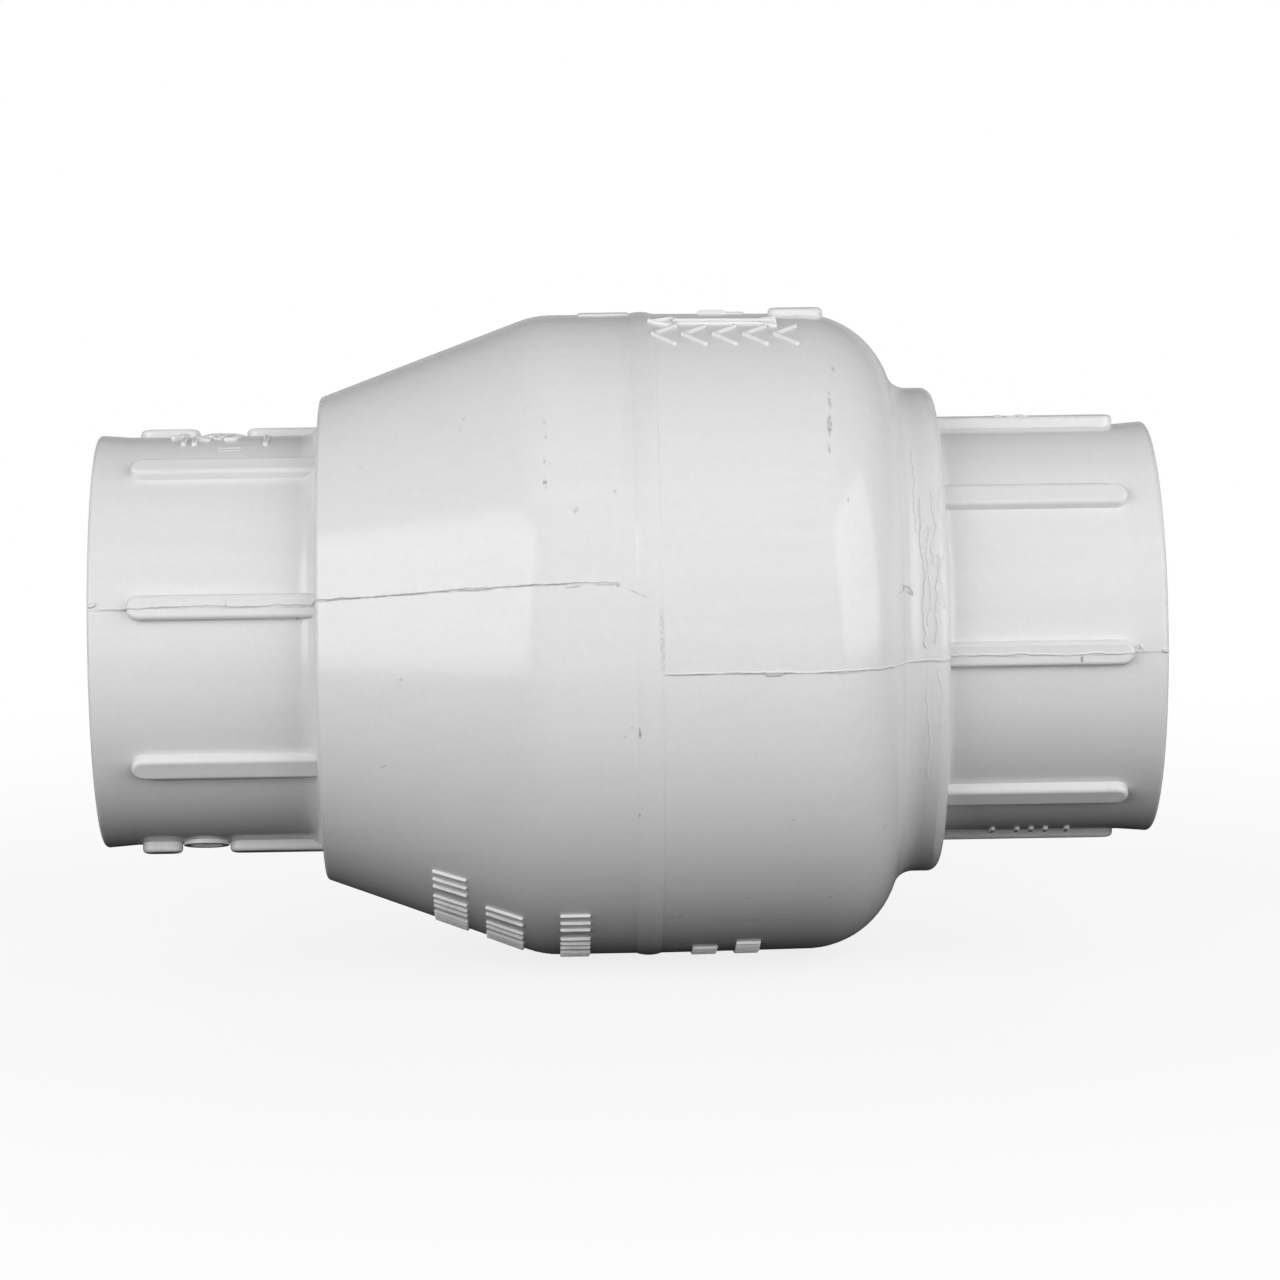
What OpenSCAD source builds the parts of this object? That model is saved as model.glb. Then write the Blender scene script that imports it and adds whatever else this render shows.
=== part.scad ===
/* [Pipe] */
// Outside diameter of the pipe that is cemented into each socket
pipe_d = 48.26; // [42:0.01:50]
// Diameter of the flow bore through the valve
bore_d = 40.9; // [34:0.1:42]
// Radial clearance between the pipe and the socket
pipe_clearance = 0.07; // [0.05:0.01:0.3]

/* [Sockets] */
// Wall of the inlet socket
inlet_wall = 4.3; // [3.5:0.1:5.5]
// Wall of the outlet socket
outlet_wall = 4.4; // [3.5:0.1:5.5]
// Depth of each socket, from the mouth to the pipe stop
socket_depth = 28.6; // [24:0.1:34]
// Length of the tapered lead-in at each mouth
lead_in = 1; // [0.5:0.1:2]
// Radius on the outer edge of each mouth
mouth_edge = 0.6; // [0.3:0.1:1]
// How much wider the rim of each mouth is than its socket
mouth_flare = 0.3; // [0.1:0.05:0.5]
// Length over which a socket widens towards its mouth
flare_l = 4.5; // [3:0.1:6]

/* [Socket ribs] */
// Ribs round each socket
rib_count = 8; // [4:1:12]
// Width of a rib
rib_w = 3.4; // [2.4:0.1:4]
// Height of a rib above the socket
rib_h = 1.4; // [0.8:0.1:2]
// Radius on the long edges of a rib's crest
rib_edge = 0.6; // [0.2:0.1:0.8]
// Bare length between the inlet mouth and the ribs
inlet_rib_start = 4.7; // [3:0.1:8]
// Bare length between the outlet mouth and the ribs
outlet_rib_start = 5.4; // [3:0.1:8]
// Angle between the rib patterns of the two halves
outlet_turn = 15.75; // [0:0.25:22.5]
// Length of the short piece of the upper broken rib on the outlet socket
upper_stub = 8.4; // [4:0.1:9]
// Length of the short piece of the lower broken rib on the outlet socket
lower_stub = 5.6; // [4:0.1:9]
// Bare gap in each broken rib, with the round gate pad in it
stub_gap = 6.6; // [4:0.1:8]
// Height of a gate pad above the socket
gate_h = 0.4; // [0.2:0.1:0.8]
// Depth of the dished middle of a gate pad
gate_dish = 0.5; // [0.2:0.1:0.8]

/* [Inlet half] */
// Distance from the inlet's pipe stop to the collar's face
collar_set = 1.4; // [0.7:0.1:2.4]
// How far the collar stands out from the inlet socket
collar_step = 5.5; // [4:0.1:7]
// Radius on the collar's outer edge
collar_edge = 1.5; // [0.5:0.1:2]
// Fillet between the socket and the collar
collar_root = 1.2; // [0.5:0.1:2]
// Radius of the round shoulder
shoulder_r = 12.9; // [12:0.1:14]
// Length from the collar's face to where the shoulder ends
shoulder_l = 18.5; // [18:0.1:20]
// How much narrower the radius is where the shoulder ends than at the seam
shoulder_draft = 0.25; // [0.1:0.05:0.5]
// Fillet between the collar and the shoulder
shoulder_root = 3; // [1.5:0.1:3.4]
// Length of the lug on top of the shoulder
lug_l = 7.6; // [6:0.1:9]
// Height of the lug above the shoulder
lug_h = 0.9; // [0.5:0.1:1.4]
// Distance from where the shoulder ends to the lug's middle
lug_set = 0.5; // [0:0.1:3]
// Length from where the shoulder ends to the seam
barrel_l = 20.6; // [19:0.1:24]

/* [Joint of the halves] */
// Length of the rounded bead on the outlet half's rim
band_l = 3.2; // [2:0.1:5]
// Height of the bead above the body
band_h = 0.3; // [0.2:0.05:0.8]
// How far the bead stands above the inlet half at the seam
seam_step = 0.06; // [0.03:0.01:0.15]
// Length of the inlet half's spigot
spigot_l = 8; // [6:0.1:9]
// Wall of the spigot
spigot_wall = 2.6; // [2:0.1:3]
// Radial gap for cement round the spigot
cement_gap = 0.05; // [0.03:0.01:0.15]
// Thickness of the cement beyond the spigot's end
cement_t = 0.8; // [0.5:0.1:1.5]

/* [Outlet half] */
// Overall length of the valve
valve_l = 146.6; // [145:0.1:149]
// Distance from the seam to where cylinder and cone would meet
cone_set = 16.4; // [14:0.1:20]
// Distance from the cone's end face to the outlet's pipe stop
cone_face = 2.4; // [1.5:0.1:4]
// How far the cone's small end stands out from the outlet socket
cone_step = 5.2; // [4:0.1:7]
// Radius that rounds the corner between cylinder and cone
cone_r = 13; // [11:0.1:15]
// Radius on the edge of the cone's small end
cone_edge = 0.7; // [0.5:0.1:1.5]
// Fillet between the outlet socket and the cone's end face
outlet_root = 2.6; // [1:0.1:3]
// Rounding of the throat's entry
throat_edge = 4; // [2:0.1:5]
// Thickness of the end wall between the chamber and the pipe stop
end_wall = 6; // [5.5:0.1:6.5]

/* [Chamber and seat] */
// Wall of the body round the chamber
wall = 5; // [4.5:0.1:5.2]
// Distance from the collar's face to the seat's middle
seat_set = 17.5; // [17:0.1:19]
// Angle that the seat leans back, so that the flapper falls shut
seat_tilt = 8; // [6:0.5:9]
// Wall of the tube that carries the seat
nozzle_wall = 4.55; // [4:0.05:5]
// Distance from the bore to the middle of the raised seat lip
lip_set = 1.95; // [1.7:0.05:2.4]
// Half the width of the seat lip, which is round on top
lip_w = 1; // [0.7:0.1:1.2]
// Depth of the pocket round the tube, from the collar's face
pocket_wall = 5; // [4.5:0.1:6]

/* [Hinge] */
// Height of the hinge pin above the edge of the flapper disc
hinge_rise = 5.3; // [5.1:0.1:5.8]
// Room above the hinge pin, up to the chamber's wall
hinge_room = 8.9; // [8.6:0.1:10]
// Distance from the seat's middle to the hinge pin
hinge_set = 2.5; // [2.3:0.1:3.1]
// How far the flapper opens
open_angle = 70; // [50:1:70]
// Diameter of the hinge pin
pin_d = 4; // [3:0.1:4.2]
// Radial clearance between the pin and its bushes
pin_running = 0.05; // [0.02:0.01:0.08]
// Radial clearance between the pin and the bracket
pin_fit = 0.03; // [0.02:0.01:0.06]
// Width of the arm's hub
hub_w = 14; // [12:0.1:14.4]
// Radius of the arm's hub
hub_r = 4.2; // [3.8:0.1:4.3]
// Wall of a bush
bush_wall = 0.95; // [0.7:0.05:1.1]
// Length of a bush
bush_l = 6.2; // [4:0.1:6.5]
// Thickness of a thrust washer
thrust_t = 0.6; // [0.4:0.05:0.7]
// Width of a thrust washer's ring
thrust_w = 1.2; // [0.9:0.05:1.3]
// Gap on each side of a thrust washer
thrust_gap = 0.2; // [0.15:0.05:0.3]
// Thickness of the bracket's plate
plate_t = 2.4; // [2:0.1:2.6]
// Thickness of a bracket ear
ear_t = 3; // [2.5:0.1:3.2]
// Radius round the pin on a bracket ear
ear_r = 4.6; // [4:0.1:4.8]
// Distance from the bracket's seating face to the hinge pin
bracket_reach = 6; // [5.8:0.1:6.2]
// How far the bracket reaches past the middle of each screw
bracket_side = 4.6; // [4.2:0.1:5]
// Gap between the bracket and the edge of the flapper disc
bracket_lift = 1.3; // [0.8:0.1:1.6]
// Gap between the bracket and the body wall
bracket_gap = 0.5; // [0.3:0.1:0.8]
// How far the stop cam stands out from the arm's hub
cam_h = 3; // [2.6:0.1:3.1]
// Width of the stop cam
cam_w = 9; // [6:0.1:10]
// Gap between the stop cam and the bracket when fully open
stop_gap = 0.3; // [0.2:0.1:0.5]
// Thickness of a pin clip
clip_t = 0.7; // [0.5:0.1:0.8]
// Outer radius of a pin clip
clip_r = 3.6; // [3.2:0.1:3.8]
// Gap between a pin clip and the ear beside it
clip_gap = 0.25; // [0.15:0.05:0.3]

/* [Bracket screws] */
// Distance of each screw from the ear beside it
screw_side = 6.2; // [5.9:0.1:6.6]
// How much lower the screws are than the hinge pin
screw_drop = 2; // [1.7:0.1:2.5]
// Diameter of a screw's shank
screw_d = 3.2; // [2.6:0.1:3.4]
// Diameter of a screw's head
screw_head_d = 6.2; // [5.4:0.1:6.4]
// Height of a screw's head
screw_head_h = 2.2; // [1.6:0.1:2.6]
// Length of a screw's shank in its boss
screw_grip = 5.4; // [4.5:0.1:5.6]
// Radial clearance round the screw's shank
screw_fit = 0.05; // [0.02:0.01:0.1]
// Radius of a screw boss
boss_r = 4.2; // [3.8:0.1:4.3]
// Diameter of a screw washer
screw_washer_d = 7.2; // [6.6:0.1:7.4]
// Thickness of a screw washer
screw_washer_t = 0.8; // [0.5:0.1:1]

/* [Flapper] */
// Gap between the shut facing and the seat lip
seat_gap = 0.1; // [0.05:0.05:0.2]
// How far the rubber facing reaches past the middle of the seat lip
seal_over = 1.8; // [1.4:0.1:2.2]
// Thickness of the rubber facing
seal_t = 3; // [2.5:0.1:3.2]
// Wall of the disc round the facing
disc_rim = 1.45; // [1:0.05:2]
// Radial gap round the facing in its recess
seal_fit = 0.05; // [0.03:0.01:0.1]
// Depth of the facing's recess in the disc
recess_h = 2; // [1.5:0.1:2.2]
// Thickness of the disc behind the facing, at its middle
disc_t = 4.3; // [4.1:0.1:4.5]
// Thickness of the disc's web between its ribs
web_t = 2.2; // [1.8:0.1:2.6]
// Width of a rib on the disc's back
disc_rib_w = 1.8; // [1.2:0.1:2.4]
// How far the pad in the middle of the disc's back reaches past the arm's eye
pad_over = 1; // [0.5:0.1:2]
// Thickness of the arm
arm_t = 3.5; // [3:0.1:3.6]
// Wall of the arm's eye past the washer under the nut
eye_wall = 2.5; // [1.5:0.1:3]
// Height of the stiffening rib along the arm
arm_rib_h = 2.2; // [1.5:0.1:2.4]
// Width of the stiffening rib along the arm
arm_rib_w = 3; // [2:0.1:4]
// Gap between the bore and the plate that clamps the facing
retainer_gap = 3.95; // [3:0.05:5]
// Thickness of the plate that clamps the facing
retainer_t = 2.6; // [2.2:0.1:3]
// Diameter of the disc bolt
bolt_d = 6; // [5:0.1:6.2]
// Radial clearance round the disc bolt
bolt_fit = 0.1; // [0.05:0.01:0.15]
// Width across the flats of the bolt's head and of the nut
hex_af = 10; // [9:0.1:10.2]
// Height of the bolt's head
bolt_head_h = 4; // [3:0.1:4.2]
// Radius of the rubber ring's section under the bolt's head
o_ring_r = 0.6; // [0.4:0.05:0.7]
// Thickness of the washer under the nut
disc_washer_t = 1.2; // [0.8:0.1:1.4]
// Radius of the washer under the nut
disc_washer_r = 6.5; // [6.2:0.1:7]
// Height of the nut's hexagon
nut_h = 4.2; // [4:0.1:4.5]
// Height of the round collar on the nut, which holds its nylon ring
nut_collar_h = 1.8; // [1.4:0.1:2]

/* [Hidden] */
$fn = 96;
small = 0.01;

// Small allowances
cut_over = 1;
rib_root = 1;
lug_root = 2;
groove_depth = 0.45;
groove_slack = 0.05;
pin_tail = 1.6;
window_edge = 0.3;
window_room = 0.5;

// Sockets
socket_r = pipe_d / 2 + pipe_clearance;
bore_r = bore_d / 2;
inlet_r = socket_r + inlet_wall;
outlet_r = socket_r + outlet_wall;
ribs_end = valve_l - outlet_rib_start;

// Places along the flow, counted from the inlet mouth
collar_s = socket_depth + collar_set;
shoulder_s = collar_s + shoulder_l;
lug_s = shoulder_s + lug_set;
seam_s = shoulder_s + barrel_l;
cone_s = seam_s + cone_set;
stop_s = valve_l - socket_depth;
cone_end_s = stop_s - cone_face;
end_wall_s = stop_s - end_wall;
seat_s = collar_s + seat_set;
hinge_s = seat_s + hinge_set;
bracket_s = hinge_s - bracket_reach;
plate_s = bracket_s + plate_t;

// Radii from the bore outwards
nozzle_r = bore_r + nozzle_wall;
lip_r = bore_r + lip_set;
seal_r = lip_r + seal_over;
disc_r = seal_r + seal_fit + disc_rim;
hinge_z = disc_r + hinge_rise;
chamber_r = hinge_z + hinge_room;
body_r = chamber_r + wall;

// Shoulder, drawn as [radius, distance from the inlet mouth]
collar_r = inlet_r + collar_step;
shoulder_top = body_r - shoulder_draft;
shoulder_mid = [shoulder_top - shoulder_r, shoulder_s];
root_mid_r = collar_r + shoulder_root;
root_mid = [root_mid_r, shoulder_s - leg(shoulder_r + shoulder_root, root_mid_r - shoulder_mid.x)];
root_reach = (shoulder_mid - root_mid) * (shoulder_root + 1) / (shoulder_r + shoulder_root);

// Chamber
inner_shoulder_r = chamber_r - shoulder_mid.x;
pocket_s = collar_s + pocket_wall;
pocket_r = collar_r - wall;

// Joint
band_sag = band_h - seam_step;
band_arc_r = (band_l * band_l / 4 + band_sag * band_sag) / 2 / band_sag;
spigot_r = chamber_r + spigot_wall;
spigot_end = seam_s + spigot_l;
bell_r = spigot_r + cement_gap;
bell_end = spigot_end + cement_t;

// Cone, which leans in by cone_angle
cone_end_r = outlet_r + cone_step;
cone_angle = atan((body_r - cone_end_r) / (cone_end_s - cone_s));
cone_mid = [body_r - cone_r, cone_s - cone_r * tan(cone_angle / 2)];
inner_cone_r = cone_r - wall;
inner_cone_start = cone_mid + polar(inner_cone_r, cone_angle);
cone_edge_mid = [
    cone_end_r - cone_edge * (1 - sin(cone_angle)) / cos(cone_angle),
    cone_end_s - cone_edge
];
inner_cone_end = [
    inner_cone_start.x - (end_wall_s - inner_cone_start.y) * tan(cone_angle),
    end_wall_s
];

// Hinge, with its place seen from the seat as up the seat and downstream
hinge_up = hinge_z * cos(seat_tilt) - (hinge_s - seat_s) * sin(seat_tilt);
hinge_out = hinge_z * sin(seat_tilt) + (hinge_s - seat_s) * cos(seat_tilt);
pin_r = pin_d / 2;
bush_r = pin_r + pin_running + bush_wall;
ear_in = hub_w / 2 + thrust_t + 2 * thrust_gap;
ear_out = ear_in + ear_t;
clip_y = ear_out + clip_gap;
groove_r = pin_r - groove_depth;
pin_end = clip_y + clip_t + pin_tail;
window_half_w = ear_in - window_edge;
window_top = hinge_z + hub_r + window_room;
bracket_top = shoulder_mid.x + leg(inner_shoulder_r, shoulder_s - bracket_s) - bracket_gap;
bracket_bottom = disc_r + bracket_lift;
screw_y = ear_out + screw_side;
screw_z = hinge_z - screw_drop;
cam_r = hub_r + cam_h;
ear_foot = [[hinge_z - ear_r - 0.1, plate_s], [hinge_z + ear_r + 0.8, plate_s]];
stop_lean = asin((hinge_s - plate_s - stop_gap) / cam_r);
cam_start = open_angle + seat_tilt - stop_lean;
cam_end = 100;

// Flapper, stacked from the seat downstream
seal_face = seat_gap;
seal_back = seal_face + seal_t;
disc_back = seal_back + disc_t;
disc_front = seal_back - recess_h;
retainer_face = seal_face - retainer_t;
arm_back = disc_back + arm_t;
washer_back = arm_back + disc_washer_t;
nut_back = washer_back + nut_h;
bolt_end = nut_back + nut_collar_h + 0.8;
retainer_r = bore_r - retainer_gap;
retainer_edge = 0.45 * retainer_t;
eye_r = disc_washer_r + eye_wall;
pad_r = eye_r + pad_over;
bolt_r = bolt_d / 2;
bolt_hole_r = bolt_r + bolt_fit;
hex_r = hex_af / 2 / cos(30);
ring_mid_r = bolt_hole_r + o_ring_r + 0.05;
ring_groove_r = ring_mid_r + o_ring_r + 0.1;
ring_groove_h = 2 * o_ring_r + 0.1;
insert_r = bolt_r + 1;

function polar(radius, angle) = [radius * cos(angle), radius * sin(angle)];

function leg(hypotenuse, other) = sqrt(hypotenuse * hypotenuse - other * other);

// The point where a line from p touches a circle, on the side given by 1 or -1
function touch(centre, radius, p, side) =
    let (away = p - centre)
    centre + polar(radius, atan2(away.y, away.x) + side * acos(radius / norm(away)));

// A slice of a disc between two angles
module sector(centre, radius, from, to) {
    intersection() {
        translate(centre) circle(radius);
        polygon([
            centre,
            centre + polar(2 * radius, from),
            centre + polar(3 * radius, (from + to) / 2),
            centre + polar(2 * radius, to)
        ]);
    }
}

// A block from the axis out to a radius, with its outer corners rounded
module rounded_step(radius, from, to, low_edge, high_edge) {
    translate([0, from]) square([radius - max(low_edge, high_edge), to - from]);
    translate([0, from + low_edge]) square([radius, to - from - low_edge - high_edge]);
    if (low_edge > 0) translate([radius - low_edge, from + low_edge]) circle(low_edge);
    if (high_edge > 0) translate([radius - high_edge, to - high_edge]) circle(high_edge);
}

// The fillet in a corner between a shaft and a face, on the face's side given by 1 or -1
module root_fillet(shaft_r, face_s, radius, side) {
    overlap = 1;
    difference() {
        translate([shaft_r - overlap, side > 0 ? face_s - overlap : face_s - radius]) square(radius + overlap);
        translate([shaft_r + radius, face_s + side * radius]) circle(radius);
    }
}

// Outside of a socket from its mouth at zero, where it widens a little
module mouth_outline(base_r) {
    rim_r = base_r + mouth_flare;
    level = 2 * flare_l - mouth_edge;
    translate([rim_r - mouth_edge, mouth_edge]) circle(mouth_edge);
    square([rim_r - mouth_edge, level]);
    polygon([[0, mouth_edge], [rim_r, mouth_edge], [base_r - mouth_flare, level], [0, level]]);
}

// Lays a piece drawn from the inlet mouth, with +Z downstream and +X up, into the valve's frame,
// whose origin is the middle of the inlet's pipe stop, with +X out of the inlet
module along_flow() {
    translate([socket_depth, 0, 0]) rotate([0, -90, 0]) children();
}

// Turns a piece drawn on +X to a place round the axis, counted from the front upwards
module at_clock(angle) {
    rotate([0, 0, angle - 90]) children();
}

// The seat's own frame, with x up the seat and z downstream
module at_seat() {
    translate([0, 0, seat_s]) rotate([0, seat_tilt, 0]) children();
}

// Stands a profile drawn as [up, downstream] on its edge, with its thickness across the valve
module across_flow(width) {
    rotate([90, 0, 0]) translate([0, 0, -width / 2]) linear_extrude(width) children();
}

// Section of a rib, as [across, radius]
module rib_section(base_r, root) {
    top = base_r + rib_h;
    translate([-rib_w / 2, base_r - root]) square([rib_w, root + rib_h - rib_edge]);
    translate([-rib_w / 2 + rib_edge, base_r - root]) square([rib_w - 2 * rib_edge, root + rib_h]);
    for (side = [-1, 1]) translate([side * (rib_w / 2 - rib_edge), top - rib_edge]) circle(rib_edge);
}

// Half-round end of a rib, on the side given by 1 or -1
module rib_end(base_r, root, side) {
    rotate([0, 90, 0]) rotate([0, 0, side * 90]) rotate_extrude(angle = 180)
        intersection() {
            rib_section(base_r, root);
            translate([0, base_r - root]) square([rib_w, root + rib_h]);
        }
}

// A rib on +X between two distances, with either end round or square
module rib(base_r, root, from, to, from_round, to_round) {
    low = from_round ? from + rib_w / 2 : from;
    high = to_round ? to - rib_w / 2 : to;
    translate([0, 0, low]) rotate([0, 0, -90]) linear_extrude(high - low) rib_section(base_r, root);
    if (from_round) translate([0, 0, low]) rib_end(base_r, root, -1);
    if (to_round) translate([0, 0, high]) rib_end(base_r, root, 1);
}

// The flank that lets the mould pull off a rib at an angle from the parting plane. It faces that plane,
// lies along the pull, and is cut back at the rib's round end, which is its low or high one.
module pull_flank(base_r, root, angle, low, high, low_end) {
    side = -sign(sin(angle) * cos(angle));
    lean = [abs(cos(angle)), -abs(sin(angle))];
    crest = [rib_w / 2 - rib_edge, base_r + rib_h - rib_edge] + 0.95 * rib_edge * [-lean.y, lean.x];
    foot = crest + lean * (crest.y - base_r + root) / -lean.y;
    wide = foot.x - crest.x;
    rotate([0, 0, -90]) intersection() {
        translate([0, 0, low]) linear_extrude(high - low) polygon([
            [0, base_r - root], [0, crest.y], [side * crest.x, crest.y], [side * foot.x, foot.y]
        ]);
        rotate([-90, 0, 0]) linear_extrude(2 * base_r) polygon([
            [0, -low], [side * crest.x, -low], [side * foot.x, -(low_end ? low + wide : low)],
            [side * foot.x, -(low_end ? high : high - wide)], [side * crest.x, -high], [0, -high]
        ]);
    }
}

// True of a rib that is neither on the parting plane nor square to it
function is_slanted(angle) = abs(sin(angle) * cos(angle)) > small;

module inlet_outline() {
    mouth_outline(inlet_r);
    translate([0, flare_l]) square([inlet_r, collar_s + 1 - flare_l]);
    root_fillet(inlet_r, collar_s, collar_root, -1);
    rounded_step(collar_r, collar_s, shoulder_s, collar_edge, 0);
    translate(shoulder_mid) circle(shoulder_r);
    polygon([
        [0, shoulder_s - 1], [shoulder_mid.x, shoulder_s - 1], [shoulder_top, shoulder_s], [body_r, seam_s],
        [spigot_r, seam_s], [spigot_r, spigot_end], [0, spigot_end]
    ]);
    difference() {
        polygon([
            [collar_r - 1, root_mid.y], root_mid, root_mid + root_reach,
            [collar_r - 1, root_mid.y + root_reach.y]
        ]);
        translate(root_mid) circle(shoulder_root);
    }
}

// Chamber of the inlet half, with the pocket round the seat's tube
module inlet_chamber() {
    shoulder_floor = shoulder_s - inner_shoulder_r;
    polygon([
        [0, pocket_s], [pocket_r, pocket_s], [pocket_r, shoulder_floor - 1.6],
        [shoulder_mid.x, shoulder_floor], [shoulder_mid.x, shoulder_s],
        [chamber_r, shoulder_s], [chamber_r, spigot_end + 1], [0, spigot_end + 1]
    ]);
    translate(shoulder_mid) circle(inner_shoulder_r);
}

// Pipe socket opening downwards at zero, with its lead-in
module socket_bore() {
    translate([0, 0, -small]) cylinder(r = socket_r, h = socket_depth + small);
    translate([0, 0, -small])
        cylinder(r1 = socket_r + lead_in / 2 + small, r2 = socket_r, h = lead_in + small);
}

module screw_places() {
    for (side = [-1, 1]) translate([screw_z, side * screw_y, 0]) children();
}

module inlet_body() {
    boss_s = shoulder_s - inner_shoulder_r - 1.6;
    color("whitesmoke") along_flow() difference() {
        union() {
            difference() {
                rotate_extrude() inlet_outline();
                rotate_extrude() inlet_chamber();
            }
            screw_places() translate([0, 0, boss_s]) cylinder(r = boss_r, h = bracket_s - boss_s);
            difference() {
                translate([0, 0, socket_depth]) cylinder(r = nozzle_r, h = seat_s);
                at_seat() translate([-2 * nozzle_r, -2 * nozzle_r, -lip_w]) cube(4 * nozzle_r);
            }
            at_seat() translate([0, 0, -lip_w]) rotate_extrude() translate([lip_r, 0]) circle(lip_w);
            for (angle = [0 : 360 / rib_count : 359]) at_clock(angle) {
                rib(inlet_r, rib_root, inlet_rib_start, collar_s + 1, true, false);
                if (is_slanted(angle))
                    pull_flank(inlet_r, rib_root, angle, inlet_rib_start + rib_w / 2, collar_s + 1, true);
            }
            at_clock(90) rib(shoulder_top + lug_h - rib_h, lug_root, lug_s - lug_l / 2, lug_s + lug_l / 2, true, true);
        }
        socket_bore();
        cylinder(r = bore_r, h = seat_s + nozzle_r);
        screw_places() translate([0, 0, bracket_s - screw_grip - 0.4])
            cylinder(r = screw_d / 2 + screw_fit, h = screw_grip + 1);
    }
}

module outlet_outline() {
    translate([0, seam_s]) square([body_r, cone_mid.y - seam_s]);
    intersection() {
        translate([body_r + band_h - band_arc_r, seam_s + band_l / 2]) circle(band_arc_r);
        translate([0, seam_s]) square([2 * body_r, 2 * band_l]);
    }
    translate(cone_mid) circle(cone_r);
    polygon([
        [0, cone_mid.y - 1], [cone_mid.x, cone_mid.y - 1], cone_mid + polar(cone_r, cone_angle),
        cone_edge_mid + polar(cone_edge, cone_angle), cone_edge_mid + [0, cone_edge], [0, cone_end_s]
    ]);
    translate(cone_edge_mid) circle(cone_edge);
    root_fillet(outlet_r, cone_end_s, outlet_root, 1);
    translate([0, cone_end_s - 1]) square([outlet_r, valve_l - flare_l - cone_end_s + 1]);
    translate([0, valve_l]) mirror([0, 1]) mouth_outline(outlet_r);
}

module outlet_chamber() {
    translate([0, seam_s - 1]) square([bell_r, bell_end - seam_s + 1]);
    translate([0, seam_s]) square([chamber_r, cone_mid.y - seam_s]);
    translate(cone_mid) circle(inner_cone_r);
    polygon([[0, seam_s], [cone_mid.x, seam_s], inner_cone_start, inner_cone_end, [0, end_wall_s]]);
    difference() {
        translate([0, end_wall_s - 1]) square([bore_r + throat_edge, throat_edge + 1]);
        translate([bore_r + throat_edge, end_wall_s + throat_edge]) circle(throat_edge);
    }
}

// The round pad that the mould's gate leaves in the gap of a broken rib, on +X
module gate_pad(middle_s) {
    pad_r = stub_gap / 2 - 0.1;
    dish_r = pad_r - 0.9;
    translate([0, 0, middle_s]) rotate([0, 90, 0]) difference() {
        translate([0, 0, outlet_r - rib_root]) cylinder(r = pad_r, h = rib_root + gate_h);
        translate([0, 0, outlet_r + gate_h - gate_dish]) cylinder(r = dish_r, h = 1);
    }
}

// A rib of the outlet socket; the upper and lower ones are broken by a gate pad
module outlet_rib(angle) {
    stub = angle == 90 ? upper_stub : lower_stub;
    if (angle == 90 || angle == 270) {
        rib(outlet_r, rib_root, ribs_end - stub, ribs_end, true, true);
        rib(outlet_r, rib_root, cone_end_s - 1, ribs_end - stub - stub_gap, false, true);
        gate_pad(ribs_end - stub - stub_gap / 2);
    } else {
        rib(outlet_r, rib_root, cone_end_s - 1, ribs_end, false, true);
    }
    if (is_slanted(angle))
        pull_flank(outlet_r, rib_root, angle, cone_end_s - 1, ribs_end - rib_w / 2, false);
}

module outlet_body() {
    color("whitesmoke") along_flow() difference() {
        union() {
            rotate_extrude() outlet_outline();
            for (angle = [0 : 360 / rib_count : 359]) at_clock(outlet_turn + angle) outlet_rib(angle);
        }
        rotate_extrude() outlet_chamber();
        translate([0, 0, end_wall_s - 1]) cylinder(r = bore_r, h = valve_l - end_wall_s);
        translate([0, 0, valve_l]) mirror([0, 0, 1]) socket_bore();
    }
}

module cement_ring() {
    color("lightgray") along_flow() rotate_extrude()
        translate([chamber_r, spigot_end]) square([spigot_wall, cement_t]);
}

module bracket_plate() {
    difference() {
        intersection() {
            circle(bracket_top);
            translate([screw_z - bracket_side, -screw_y - bracket_side])
                square([bracket_top, 2 * (screw_y + bracket_side)]);
        }
        circle(bracket_bottom);
        translate([0, -window_half_w]) square([window_top, 2 * window_half_w]);
        screw_places() circle(screw_d / 2 + screw_fit);
    }
}

// One ear's side view, as [up, downstream]
module bracket_ear() {
    pin_place = [hinge_z, hinge_s];
    difference() {
        union() {
            translate(pin_place) circle(ear_r);
            polygon([
                ear_foot[0] - [0, plate_t / 2], ear_foot[1] - [0, plate_t / 2], ear_foot[1],
                touch(pin_place, ear_r, ear_foot[1], 1), pin_place,
                touch(pin_place, ear_r, ear_foot[0], -1), ear_foot[0]
            ]);
        }
        translate(pin_place) circle(pin_r + pin_fit);
    }
}

module hinge_bracket() {
    color("gainsboro") along_flow() {
        translate([0, 0, bracket_s]) linear_extrude(plate_t) bracket_plate();
        for (side = [-1, 1]) translate([0, side * (ear_in + ear_out) / 2, 0])
            across_flow(ear_t) bracket_ear();
    }
}

module bracket_washers() {
    color("silver") along_flow() screw_places() translate([0, 0, plate_s]) difference() {
        cylinder(d = screw_washer_d, h = screw_washer_t);
        translate([0, 0, -small]) cylinder(r = screw_d / 2 + screw_fit, h = screw_washer_t + 2 * small);
    }
}

module bracket_screws() {
    head_s = plate_s + screw_washer_t;
    color("silver") along_flow() screw_places() {
        translate([0, 0, bracket_s - screw_grip]) cylinder(d = screw_d, h = head_s - bracket_s + screw_grip);
        translate([0, 0, head_s]) rotate_extrude() difference() {
            rounded_step(screw_head_d / 2, 0, screw_head_h, 0, screw_head_h / 2);
            translate([0, screw_head_h / 2]) square([screw_d / 4, screw_head_h]);
        }
    }
}

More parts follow.
